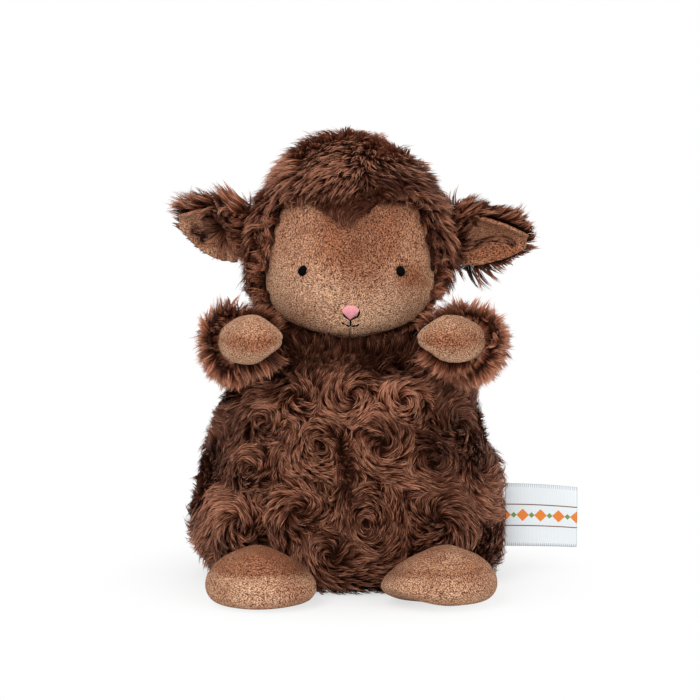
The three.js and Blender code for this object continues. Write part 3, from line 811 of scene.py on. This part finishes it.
head = {
    "skin": dict(voxel=2.6, passes=8, inset=1.6),
    "face": dict(voxel=2.2, passes=8, inset=-0.9),
    "seed": 31,
    "whorlSeed": 30,
    "thin": 2.0,
    "whorlSpacing": 30,
    "outline": [(2, 222, 2.2, 15), (-22, 219, 1.8, 9), (-37, 208, 0.8, 6), (-44, 199, -4, 8), (19, 220, -3, 8),
                (37.5, 208, 1.2, 6), (44.5, 197, -1.8, 10), (45, 137, -7, 9), (-52, 142, 2.5, 7)],
    "coat": dict(pile, length=11, rise=26, lie=78, clump=0.4, lieSpread=9),
    # a lighter tone than the torso's: partly the hood's own colour and partly painted light
    "tone": 0.64,
    # spots of painted light and painted shade, by pixel
    "paintedLightAndShade": [(352, 202, -0.9, 38, 18), (390, 184, -0.6, 34, 15), (378, 148, 1.3, 30, 15), (325, 142, 0.8, 24, 8),
               (282, 172, 0.6, 20, 24), (302, 329, -0.9, 22, 12), (400, 330, -0.6, 22, 11)],
    "fringe": {"top": 192, "halfWidth": 31, "gap": 1.5, "edge": 209, "point": 20, "pointWidth": 12, "seed": 34,
               "coat": dict(pile, length=8, rise=52, lie=88, locks=16, clump=0.6)},
    # spots laid darker and lighter, the darkest a painted shadow in the hollow beside one eye
    "napAndPaintedLight": [(410, 276, -0.9, 12, 13), (385, 320, 0.15, 20, 12), (300, 315, -0.3, 22, 12), (356, 326, 0.3, 18, 8)],
    "chin": {"drop": 1.6, "width": 13, "height": 12, "front": 15, "seam": [(349.3, 329), (350.6, 336)],
             "seamDepth": 0.7},
}

faceSkin = stuffed("face", ["face_panel", "head_filling"], **head["face"])
puff(faceSkin, pressure=2.0, cap=1.0)
points = pointsOf(faceSkin)
chin, lowest = head["chin"], points[:, 2].min()
lowered = 1 - smoothStep(lowest, lowest + chin["height"] * mm, points[:, 2])
lowered = bell(points[:, 0], chin["width"] * mm) * lowered
points[:, 2] -= chin["drop"] * mm * lowered * (points[:, 1] < -chin["front"] * mm)
movePoints(faceSkin, points)
finishWith(faceSkin, "SUBSURF", levels=1, render_levels=1)
faceTree = treeOf(faceSkin)

facePoints = pointsOf(frame["nodes"]["face_panel"])
faceLow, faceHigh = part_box("face_panel")
headLow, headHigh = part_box("hood_left")
headMiddle = np.array([0, 0, (headLow.z + headHigh.z) / 2])
crown = np.array([0, 6 * mm, headHigh.z])


def outwardFromHead(points, normals):
    return smoothStep(-0.1, 0.4, (unit(points - headMiddle) * normals).sum(1))


hoodNodes = ["hood_left", "hood_right", "crown_gusset"]
hoodSkin = stuffed("hood_backing", hoodNodes, **head["skin"])
thin(hoodSkin, head["thin"], outwardFromHead)
swell(hoodSkin, headMiddle, head["outline"])
headWhorls, headTurns = spreadWhorls(hoodSkin, head["whorlSpacing"], head["whorlSeed"])


def faceEdge(heights):  # half the face's width at a height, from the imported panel
    levels = np.linspace(faceLow.z, faceHigh.z, 24)
    widths = [np.abs(facePoints[np.abs(facePoints[:, 2] - level) < 3 * mm, 0]).max() for level in levels]
    return np.interp(heights, levels, widths, left=0, right=0)


def besideFace(points):  # how far outside the face's outline, seen from the front
    inside = np.abs(points[:, 0]) - faceEdge(points[:, 2])
    over = points[:, 2] - faceHigh.z
    above = np.where(over > 0, np.hypot(over, np.maximum(0, np.abs(points[:, 0]) - 30 * mm)), -1)
    return np.where(points[:, 1] < 5 * mm, np.maximum(inside, above), 99 * mm)


def headFlow(points, facing):  # combed from the crown and curled in whorls, forwards where it meets the face
    down = unit(unit(points - crown) + np.array([0, 0, -0.5]))
    curl = whorlFlow(points, facing, headWhorls, headTurns)
    sides = np.sign(points[:, 0:1]) * np.array([[0.5, 0, 0]])
    above = smoothStep(faceLow.z, faceHigh.z, points[:, 2])[:, None]
    onto = sides * (1 - above) + np.array([0, -1, 0]) + np.array([0, 0, -0.9]) * above
    near = 1 - fadeIn(3, 14, np.abs(besideFace(points)))[:, None]
    return unit((0.7 * down + 0.5 * curl) * (1 - near) + onto * near) + 0.3 * wander(points)


def headTone(points, rng):
    # a painted highlight near the crown and painted shadow low by the chin
    top = 0.22 * bell(apartFrom(points - crown, [0, -12 * mm, -4 * mm]), 16 * mm)
    shadowByChin = 0.45 * (1 - fadeIn(122, 134, points[:, 2])) * (np.abs(points[:, 0]) < 40 * mm)
    inFront = 1 - fadeIn(-2, 12, points[:, 1])
    return (head["tone"] + top - shadowByChin + inFront * onPicture(points, head["paintedLightAndShade"])
            + 0.2 * shadeWander(points)[:, 0] + 0.15 * rng.normal(size=len(points)))


def outsideHood(places, facing):  # the pile stands on the outer side of the hood and on its rim
    return (unit(places - headMiddle) * facing).sum(1) > -0.4


dress(hoodSkin, backing, "head", "fur", *hoodNodes, fill=0.7)
coat(["hood_fur_front_left", "hood_fur_front_right", "hood_fur_back_left", "hood_fur_back_right"],
     furOn(hoodSkin, head["coat"], head["seed"], headFlow, headTone, outsideHood), head["coat"], head["seed"] + 2,
     "head", lambda places: (places[:, 0] < 0) + 2 * (places[:, 1] > 0))

# the fringe hangs over the forehead and comes to a soft point
fringe = head["fringe"]
hoodTree = treeOf(hoodSkin)
found = []
rng = np.random.default_rng(fringe["seed"])
for across in np.arange(-fringe["halfWidth"], fringe["halfWidth"], fringe["gap"]):
    edge = fringe["edge"] + fringe["point"] * bell(across, fringe["pointWidth"])
    for row in np.arange(fringe["top"], edge - 1.5 * fringe["coat"]["length"], 1.7 * fringe["gap"]):
        pixel = np.array([halfPicture + camera["pixelsPerMm"] * across, row + 0.1 * abs(across)])
        pixel += rng.uniform(-1.2, 1.2, 2)
        spots = [spotOn(tree, pixel) for tree in (hoodTree, faceTree)]
        found += sorted((spot for spot in spots if spot[0] is not None), key=lambda spot: spot[0].y)[:1]
rootSpots, rootFacing = (np.array(part) for part in zip(*found))


def fringeFlow(points, facing):
    way = np.stack([-0.035 * points[:, 0] / mm, np.full(len(points), -0.25), np.full(len(points), -1.0)], 1)
    return way + 0.35 * wander(points)


def fringeTone(points, rng):  # deeper in the middle, where the point hangs
    # partly its own tone and partly painted shade
    return headTone(points, rng) - 0.1 - 0.15 * bell(points[:, 0], 13 * mm)


grown = growLocks(rootSpots, rootFacing, fringeFlow, fringe["coat"], fringe["seed"] + 1, fringeTone)
grown[0][:, 1:] = aboveSkin(faceTree, grown[0][:, 1:], clearance=0.5)
coat(["hood_fur_fringe"], grown, fringe["coat"], fringe["seed"] + 2, "head")

points = pointsOf(faceSkin)
x, z = points[:, 0] / mm, (points[:, 2] - faceLow.z) / mm
middleBand = bell(x - 6, 14)
# darker down the middle, and painted shade towards the top of the face
faceNapAndPaintedLight = 0.8 - middleBand * smoothStep(4, 52, z) - 0.55 * smoothStep(18, 50, z)
faceNapAndPaintedLight += onPicture(points, head["napAndPaintedLight"])
chinSeam = bell(fromLine(pixelsOf(points), chin["seam"])[1], 1.2) * (points[:, 1] < 0)
press(faceSkin, chin["seamDepth"] * chinSeam)
# painted shadow under the fringe
underFringe = 0.24 * middleBand * smoothStep(8, 46, z) + 0.14 * smoothStep(40, 62, z)
setNapAndPaintedLight(faceSkin, faceNapAndPaintedLight, 0.6 * chinSeam + underFringe * (points[:, 1] < 0))
dress(faceSkin, velour, "head", "velour", "face_panel", fill=0.85)
fillWith("head_stuffing", "head_filling", "head", fill=0.85)


# Embroidery of the face: threads laid over it side by side

embroidery = {
    "eyes": {"right": ((302.8, 270.8), 0.14), "left": ((400.3, 271.2), -0.08)},  # middle and slant, by pixel
    "eye": {"halfWidth": 3.9, "halfHeight": 5.3, "strands": 9},
    # where the nose's top and foot lie, how far they are bowed, and its middle and half width from top to foot
    "nose": {"top": (311.5, 6.0), "foot": (319.6, 7.6), "widths": ((350.6, 8.2), (350.4, 7.6), (350.2, 7.2))},
    "mouth": [[(342.8, 311.4), (344.2, 315.6), (350.2, 319.8)], [(359.8, 311.6), (357.6, 316.4), (350.4, 319.8)],
              [(350.6, 319.4), (350.6, 322.6), (350.3, 325.8)], [(342.0, 322.6), (343, 323.2), (344.0, 323.8)],
              [(346.3, 324.7), (347.8, 325.4), (349.4, 326.0)], [(352.2, 326.1), (353.6, 325.9), (355.0, 325.6)],
              [(356.6, 325.3), (357.6, 325.0), (358.6, 324.4)]],
}


def sewn(nodeName, strands, thickness, dome, material, slot, name=None):
    steps = 9
    bpy.ops.object.select_all(action="DESELECT")
    bpy.ops.curve.primitive_nurbs_path_add()
    obj = bpy.context.object
    obj.name = name or nodeName + "_stitches"
    curve = obj.data
    curve.splines.clear()
    for strand in strands:
        spline = curve.splines.new("POLY")
        spline.points.add(steps - 1)
        legs = np.array(strand, float)
        along = np.linspace(0, len(legs) - 1, steps)
        pixels = np.stack([np.interp(along, range(len(legs)), legs[:, axis]) for axis in (0, 1)], 1)
        for i, pixel in enumerate(pixels):
            spot, normal = spotOn(faceTree, pixel)
            height = thickness * 0.15 + dome * math.sin(math.pi * i / (steps - 1)) ** 0.6
            if i in (0, steps - 1):  # the thread's ends go into the cloth
                height = -thickness * 0.6
            spline.points[i].co = (*(spot + normal * height * mm), 1)
    curve.dimensions = "3D"
    curve.bevel_depth = thickness * mm / 2
    curve.bevel_resolution = 2
    curve.use_fill_caps = True
    pickOnly(obj)
    bpy.ops.object.convert(target="MESH")
    obj = bpy.context.object
    bpy.ops.object.transform_apply(location=True, rotation=True, scale=True)
    dress(obj, material, "head", slot, nodeName)


def ovalStitches(middle, slant, halfWidth, halfHeight, strands):
    for share in np.linspace(-0.9, 0.9, strands):
        half = halfHeight * math.sqrt(1 - share**2)
        foot = np.array([share * halfWidth - slant * half, half])
        top = np.array([share * halfWidth + slant * half, -half])
        yield middle + foot, middle + (foot + top) / 2, middle + top


def noseStitches(top, foot, widths):
    for share in np.linspace(-0.92, 0.92, 13):
        start, end = top[0] - top[1] * math.sqrt(1 - share**2), foot[0] - foot[1] * abs(share) ** 1.3
        heights = start, (start + end) / 2, end
        yield [(middle + half * share, down) for (middle, half), down in zip(widths, heights)]


for word, (middle, slant) in embroidery["eyes"].items():
    sewn("eye_" + word, ovalStitches(np.array(middle), slant, **embroidery["eye"]), thickness=0.75, dome=0.6,
         material=blackThread, slot="black_thread")
sewn("nose", noseStitches(**embroidery["nose"]), thickness=0.8, dome=0.8, material=pinkThread, slot="pink_thread")
sewn("mouth_stitching", embroidery["mouth"], thickness=0.85, dome=0.12, material=blackThread, slot="black_thread",
     name="mouth_stitches")
print("head made")


# Ears

ear = {
    "skin": dict(voxel=1.5, passes=4, inset=1.2),
    "lining": dict(voxel=1.1, passes=5),
    "coat": dict(pile, length=10.5, rise=36, lie=76, frizz=0.5, spacing=1.7),
    "over": dict(pile, rise=30, lie=86, frizz=0.4, spacing=1.5, locks=18),
    "left": {
        "seed": 41,
        # the part of the lining that fur hides, the fold of the lining and the spot that the fur fans out from
        "furPixels": [(440, 150), (560, 150), (560, 214), (530, 214), (515, 213), (492, 214), (478, 219), (462, 229),
                      (454, 241), (440, 252)],
        "foldPixels": [(466, 249), (478, 243.5), (490, 240), (504, 239.5), (513, 244)],
        "foldWidth": 2.6,
        "napAndPaintedLight": 0.14,
        "fanPixel": (454, 232),
        "overLength": 9,
        "overLengths": [],
        "linings": [(60, 151, 1.2, 9)],
        "lengths": [(68, 190, -0.65, 8), (91, 178, -0.7, 8), (96, 168, 1.2, 6), (58, 152, 1.6, 8),
                    (82, 159, -0.8, 8)],
    },
    "right": {
        "seed": 51,
        "furPixels": [(150, 150), (290, 150), (290, 268), (252, 258), (240, 248), (230, 240), (220, 231), (211, 224),
                      (208, 213), (196, 210), (150, 206)],
        "overLengths": [(-72, 178, -0.62, 8)],
        "foldPixels": [(194, 231), (199, 233), (204, 234), (203, 239)],
        "foldWidth": 4.6,
        "napAndPaintedLight": 0.42,
        "fanPixel": (234, 219),
        "overLength": 14,
        "linings": [(-66, 158, 2.2, 14)],
        "lengths": [(-68, 158, -0.75, 14), (-85, 166, -0.8, 10), (-56, 156, -0.6, 9), (-92, 179, 0.7, 4),
                    (-54, 192, 0.9, 7)],
    },
}


def makeEar(word, side):
    body, look = "ear_" + word, ear[word]
    lining = stuffed(body + "_lining_cloth", [body + "_lining"], **ear["lining"])
    finishWith(lining, "SUBSURF", levels=1, render_levels=1)
    skin = stuffed(body + "_backing", [body + "_back"], **ear["skin"])
    liningPoints = pointsOf(lining)
    order = np.argsort(side * liningPoints[:, 0])
    root, tip = (liningPoints[part].mean(0) for part in (order[: len(order) // 14], order[-len(order) // 30:]))
    axis = unit(tip - root)
    front = unit(liningPoints.mean(0) - pointsOf(skin).mean(0))
    front = unit(front - axis * (front @ axis))
    swell(lining, liningPoints.mean(0), look["linings"])
    fold = fromLine(pixelsOf(pointsOf(lining)), look["foldPixels"])[1] / look["foldWidth"]
    groove(lining, fold * mm, depth=2.0, width=1.0)
    below = pixelsOf(pointsOf(lining))[:, 1] - np.array(look["foldPixels"])[:, 1].mean()
    # the left ear's lining is in more painted shade than the right's; painted shade just under the fold and painted
    # light towards the lower rim
    napAndPaintedLight = look["napAndPaintedLight"] - 0.25 * smoothStep(0, 6, below) + 0.3 * smoothStep(10, 20, below)
    setNapAndPaintedLight(lining, napAndPaintedLight, 1.3 * bell(fold, 1))
    liningTree = treeOf(lining)
    ray = sightLine(*look["fanPixel"])
    middle = np.array(eyePoint + ray * ((liningPoints[:, 1].mean() - eyePoint.y) / ray.y))

    def fan(points, facing):
        away = points - root
        across = away - axis * (away @ axis)[:, None]
        share = fadeIn(3, 14, np.linalg.norm(across, axis=1))[:, None]
        return axis + 0.9 * unit(across) * share + 0.3 * wander(points)

    def onBack(places, facing):
        clear = np.array([liningTree.find_nearest(Vector(p))[3] for p in places])
        free = (clear > 2.0 * mm) | ((clear > 0.8 * mm) & (facing @ front < 0.1))
        return free & (side * (places[:, 0] - root[0]) > -9 * mm)

    def overLining(places, facing):
        return (facing @ front > -0.2) & within(pixelsOf(places), look["furPixels"])

    def overFlow(points, facing):
        return unit(points - middle) + 0.25 * wander(points)

    def earTone(points, rng):  # dark where the fur parts
        # painted shade where the fur parts
        return headTone(points, rng) - 0.5 * bell(apartFrom(points, middle), 6 * mm)

    dress(skin, backing, body, "fur", body + "_back", fill=0.3)
    dress(lining, velour, body, "velour", body + "_lining", fill=0.2)
    style = dict(ear["coat"], lengthAt=lengthField(look["lengths"]))
    behind = furOn(skin, style, look["seed"], fan, headTone, onBack)
    style = dict(ear["over"], length=look["overLength"], lengthAt=lengthField(look["overLengths"]))
    before = furOn(lining, style, look["seed"] + 3, overFlow, earTone, overLining)
    before[0][:, 1:] = aboveSkin(liningTree, before[0][:, 1:], clearance=0.3)
    coat([body + "_fur"], together(behind, before), ear["coat"], look["seed"] + 2, body)


makeEar("left", 1)
makeEar("right", -1)
print("ears made")


# Arms: a fur sleeve and a velour hand

arm = {
    "coat": dict(pile, length=9, rise=22, lie=52, frizz=0.5, spacing=1.8),
    "rim": dict(pile, length=9.5, rise=10, lie=38, frizz=0.4, clump=0.5, spacing=1.7),
    "skin": dict(voxel=2.0, passes=6, inset=1.4),
    "hand": dict(voxel=1.8, passes=4, inset=-0.1),
    "thin": 2.4,
    "lighter": 0.3,
    "lip": -6,  # how far back from the cuff's edge its inner side is furred
    "shoulder": (52, -12, 112),
    "cuff": (56, -46, 122),
    # the outline of each sleeve, and the egg shape of each hand from its inner tip
    "left": {"seed": 61, "wide": 0.963, "high": 0.94, "raised": 1.6,
             "outline": [(60, 138, 2, 12), (70, 97, -4.5, 9), (59, 142, -2, 6), (77, 131, 2.5, 8),
                         (79, 114, -1.2, 8), (44, 134, 7, 9)]},
    "right": {"seed": 71, "wide": 0.91, "high": 0.98, "raised": 1.2,
              "outline": [(-60, 138, 2, 12), (-80, 116, -4.5, 16), (-72, 98, -4, 9), (-44, 134, 7, 9)]},
}


def makeArm(word, side):
    body, look = "arm_" + word, arm[word]
    handNode, sleeveNode, fillingNode = (body + end for end in ("_hand", "_sleeve", "_filling"))
    cuff, shoulderPoint = (np.array(arm[end]) * [side, 1, 1] * mm for end in ("cuff", "shoulder"))
    axis = unit(cuff - shoulderPoint)

    def aside(points):  # straight away from the arm's axis
        apart = points - cuff
        return unit(apart - axis * (apart @ axis)[:, None])

    def outward(points, normals):
        return smoothStep(-0.1, 0.4, (aside(points) * normals).sum(1))

    skin = stuffed(body + "_sleeve_backing", [sleeveNode], **arm["skin"])
    thin(skin, arm["thin"], outward)
    swell(skin, cuff, look["outline"])
    hand = stuffed(body + "_hand_stuffed", [handNode, fillingNode], **arm["hand"])
    puff(hand, pressure=3.0, cap=0.8)
    finishWith(hand, "SUBSURF", levels=1, render_levels=1)
    handLow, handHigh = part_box(handNode)
    tip, middle = np.abs(pointsOf(hand)[:, 0]).min(), (handHigh.z + handLow.z) / 2

    def eggShape(obj):
        shaped = pointsOf(obj)
        fromTip = np.abs(shaped[:, 0]) - tip
        shaped[:, 0] = side * (tip + fromTip * look["wide"])
        pointed = look["high"] * (0.68 + 0.34 * fadeIn(0, 16, fromTip))
        shaped[:, 2] = middle + (shaped[:, 2] - middle) * pointed + look["raised"] * mm
        movePoints(obj, shaped)
        return shaped, fromTip

    handPoints, fromTip = eggShape(hand)
    seam = handPoints[:, 2] - middle - look["raised"] * mm
    groove(hand, seam, depth=0.5, width=1.0)
    edge = 1 - smoothStep(0.1, 0.75, normalsOf(hand) @ axis)
    # painted rim light towards the hand's edge, darker along the seam, and painted shadow in the seam towards the
    # inner tip
    setNapAndPaintedLight(hand, 0.5 + 0.42 * edge - 0.45 * bell(seam, 5 * mm) * (1 - edge),
           0.25 * bell(seam, 1.2 * mm) * (1 - fadeIn(3, 12, fromTip)))
    dress(hand, velour, body, "velour", handNode, fill=0.85)
    dress(skin, backing, body, "fur", sleeveNode, fill=0.6)
    eggShape(fillWith(body + "_stuffing", fillingNode, body, fill=0.8, voxel=2.5))

    def furred(places, facing):
        onLip = (places - cuff) @ axis > arm["lip"] * mm
        return (outward(places, facing) > 0.02) | (facing @ axis > 0.3) | onLip

    def flow(points, facing):  # away from the hand, but forwards from the inner side of the cuff
        away = aside(points)
        inner = smoothStep(-0.2, 0.4, -(away * facing).sum(1))[:, None]
        return away * (1 - inner) + axis * (1.3 * inner - 0.15) + 0.3 * wander(points)

    def behindHand(places, facing):  # out of sight behind the hand, and not at its inner tip
        return (facing @ axis > -0.5) & (facing @ axis < -0.05) & (side * places[:, 0] > tip + 5 * mm)

    def armTone(points, rng):
        return headTone(points, rng) + arm["lighter"]

    sleeve = furOn(skin, arm["coat"], look["seed"], flow, armTone, furred)
    rim = furOn(hand, arm["rim"], look["seed"] + 3, flow, armTone, behindHand)
    coat([body + "_fur"], together(sleeve, rim), arm["coat"], look["seed"] + 2, body)


makeArm("left", 1)
makeArm("right", -1)
print("arms made")


# Feet

foot = {
    "skin": dict(voxel=2.6, passes=7, inset=-0.8, hull=True),
    "seamHeight": 17.5,
    "low": 0.97,
    # how each is pressed and turned, where it is darker or lighter in spots, and the painted shade on its inner side
    "left": {"wide": 1.045, "shift": -1.9, "slant": 5.2, "toeRise": 2.6, "innerRise": 4.2,
             "above": 0.32, "below": 0.62,
             "napAndPaintedLight": [(410, 575, -0.3, 34, 5), (470, 580, -0.3, 16, 7), (454, 553, 0.3, 9, 9),
                     (432, 588, -0.2, 10, 6)],
             "shade": [(386, 560, 0.5, 16, 20)]},
    "right": {"wide": 1.0, "shift": 1.6, "slant": 3.2, "toeRise": 1.0, "innerRise": 0.8,
              "above": 0.08, "below": 0.66,
              "napAndPaintedLight": [(217, 583, -0.25, 16, 13), (295, 590, -0.4, 14, 14), (245, 600, 0.15, 30, 10)],
              "shade": [(304, 562, 0.5, 22, 18)]},
}


def makeFoot(word, side):
    body, look = "foot_" + word, foot[word]
    covers = [body + "_upper", body + "_sole"]
    stuffedFoot = stuffed(body + "_stuffed", covers + [body + "_filling"], **foot["skin"])
    puff(stuffedFoot, pressure=3.0, cap=1.2)
    finishWith(stuffedFoot, "SUBSURF", levels=1, render_levels=1)
    seamHeight = foot["seamHeight"] * mm
    groove(stuffedFoot, pointsOf(stuffedFoot)[:, 2] - seamHeight, depth=0.35, width=1.0)
    middle, front = pointsOf(stuffedFoot)[:, 0].mean(), pointsOf(stuffedFoot)[:, 1].min()
    top = pointsOf(stuffedFoot)[:, 2].max()

    def likeReal(obj):  # its highest spot lies outwards of its middle, and its toes curl up a little
        shaped = pointsOf(obj)
        slant = side * look["slant"] * np.clip(shaped[:, 2] / top, 0, 1) ** 2
        shaped[:, 0] = middle + (shaped[:, 0] - middle) * look["wide"] + (slant + look["shift"]) * mm
        toe = smoothStep(front + 40 * mm, front + 8 * mm, shaped[:, 1]) * (1 - fadeIn(0, 14, shaped[:, 2]))
        inner = fadeIn(6, -26, side * (shaped[:, 0] - middle))
        rise = (look["toeRise"] + look["innerRise"] * inner) * toe * mm
        shaped[:, 2] = np.maximum(shaped[:, 2] * foot["low"] + rise, 0.1 * mm)
        movePoints(obj, shaped)
        return shaped

    points = likeReal(stuffedFoot)
    overSeam = points[:, 2] - (seamHeight + 0.3 * mm * lumpWander(points)[:, 0])
    soft = (0.8 + 2.5 * smoothStep(0.3, 1, np.abs(points[:, 0] - middle) / (25 * mm))) * mm
    above = smoothStep(-1, 1, overSeam / soft)
    setNapAndPaintedLight(stuffedFoot, look["below"] + (look["above"] - look["below"]) * above + onPicture(points, look["napAndPaintedLight"]),
           0.12 * bell(overSeam - 0.6 * mm, 0.8 * mm) + onPicture(points, look["shade"]))
    dress(stuffedFoot, velour, body, "velour", *covers, fill=0.8)
    likeReal(fillWith(body + "_stuffing", body + "_filling", body, fill=0.8, voxel=2.5))


makeFoot("left", 1)
makeFoot("right", -1)
print("feet made")


# Tail and neck

tail = {"skin": dict(voxel=1.8, passes=6, inset=1.8), "seed": 81,
        "coat": dict(ear["coat"], length=10, wild=0, width=0.52)}
tailSkin = stuffed("tail_backing", ["tail"], **tail["skin"])
dress(tailSkin, backing, "tail", "fur", "tail", fill=0.5)
grown = furOn(tailSkin, tail["coat"], tail["seed"],
              lambda at, facing: np.array([0, 0.3, -1]) + 0.4 * wander(at), headTone)
coat(["tail_fur"], grown, tail["coat"], tail["seed"] + 2, "tail")

fillWith("neck_stuffing", "neck_filling", "neck", fill=0.7, voxel=2)
neck = {"skin": dict(voxel=2, passes=5, inset=-0.6), "seed": 86,
        "coat": dict(pile, length=9, rise=30, lie=66, width=0.54)}
neckSkin = stuffed("neck_backing", ["neck_filling"], **neck["skin"])
dress(neckSkin, backing, "neck", "fur", fill=0.6)
grown = furOn(neckSkin, neck["coat"], neck["seed"], lambda at, facing: np.array([0, 0, -1]) + 0.5 * wander(at),
              headTone, lambda places, facing: np.abs(facing[:, 2]) < 0.8)
coat(["neck_fur"], grown, neck["coat"], neck["seed"] + 2, "neck")
print("tail and neck made")


# Label: one woven ribbon, folded double and sewn into the side seam

label = {"reach": 36.3, "height": 31.7, "apart": 0.55, "thickness": 0.4, "raised": 1.0, "droop": 2.0, "wave": 0.7,
         "steps": 90, "stepsAcross": 20}


def makeLabel():
    low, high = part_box("side_label")
    bpy.ops.object.select_all(action="DESELECT")
    bpy.ops.mesh.primitive_grid_add(x_subdivisions=label["steps"], y_subdivisions=label["stepsAcross"], size=1)
    obj = bpy.context.object
    obj.name = "side_label_ribbon"
    flat = pointsOf(obj) + 0.5
    straight = label["reach"] - label["apart"]
    turn = math.pi * label["apart"]
    total = 2 * straight + turn
    run = flat[:, 0] * total
    bend = np.clip((run - straight) / label["apart"], 0, math.pi)
    back = np.maximum(0, run - straight - turn)
    out = np.minimum(run, straight) - back + label["apart"] * np.sin(bend)
    share = out / label["reach"]
    up = flat[:, 1] * label["height"]
    wave = label["wave"] * share * np.sin(2.2 * share + 0.11 * up)
    y = -label["apart"] * np.cos(bend) + wave
    z = low.z / mm + label["raised"] + up - label["droop"] * share**2 * (0.4 + 0.6 * flat[:, 1])
    movePoints(obj, np.stack([low.x / mm + out, y, z], 1) * mm)
    finishWith(obj, "SOLIDIFY", thickness=label["thickness"] * mm, offset=0)
    dress(obj, ribbon, "label", "ribbon", "side_label")
    print("label laid flat is", round(total, 1), "mm long")


makeLabel()


# Light, floor and backdrop

studio = {
    "lamps": {"key": ((-380, -850, 800), 700, 7), "fill": ((620, -800, 420), 800, 3.4)},  # place, size, power
    "floorColour": (0.9, 0.9, 0.9, 1),
    "shadowFade": dict(From_Min=0.05, From_Max=0.135, To_Min=0.62, To_Max=1),  # the floor turns white in metres
    "ambient": 0.55,
}
white = (1, 1, 1, 1)

for name, (place, size, power) in studio["lamps"].items():
    bpy.ops.object.light_add(type="AREA", location=[c * mm for c in place])
    light = bpy.context.object
    light.name = name
    light.data.shape = "DISK"
    light.data.size = size * mm
    light.data.energy = power
    light.rotation_euler = (target - light.location).to_track_quat("-Z", "Y").to_euler()


def emptyTree(holder):
    holder.use_nodes = True
    holder.node_tree.nodes.clear()
    return holder.node_tree


bpy.ops.mesh.primitive_plane_add(size=12)
floor = bpy.context.object
floor.name = "floor"
floorMaterial = bpy.data.materials.new("white_floor")
floor.data.materials.append(floorMaterial)
tree = emptyTree(floorMaterial)
away = node(tree, "VectorMath", node(tree, "TexCoord")["Object"], operation="LENGTH")["Value"]
fade = node(tree, "MapRange", interpolation_type="SMOOTHSTEP", Value=away, **studio["shadowFade"])[0]
cloth = node(tree, "BsdfDiffuse", Color=studio["floorColour"])[0]
glow = node(tree, "Emission", Color=white, Strength=1)[0]
seen = calculate("MULTIPLY", fade, node(tree, "LightPath")["Is Camera Ray"])
node(tree, "OutputMaterial", Surface=node(tree, "MixShader", seen, cloth, glow)[0])

world = bpy.data.worlds.new("soft_studio")
bpy.context.scene.world = world
tree = emptyTree(world)
soft, plain = (node(tree, "Background", Color=white, Strength=strength)[0] for strength in (studio["ambient"], 1))
seen = node(tree, "LightPath")["Is Camera Ray"]
node(tree, "OutputWorld", Surface=node(tree, "MixShader", seen, soft, plain)[0])

bpy.context.scene.view_settings.view_transform = "Standard"
print("stage made")
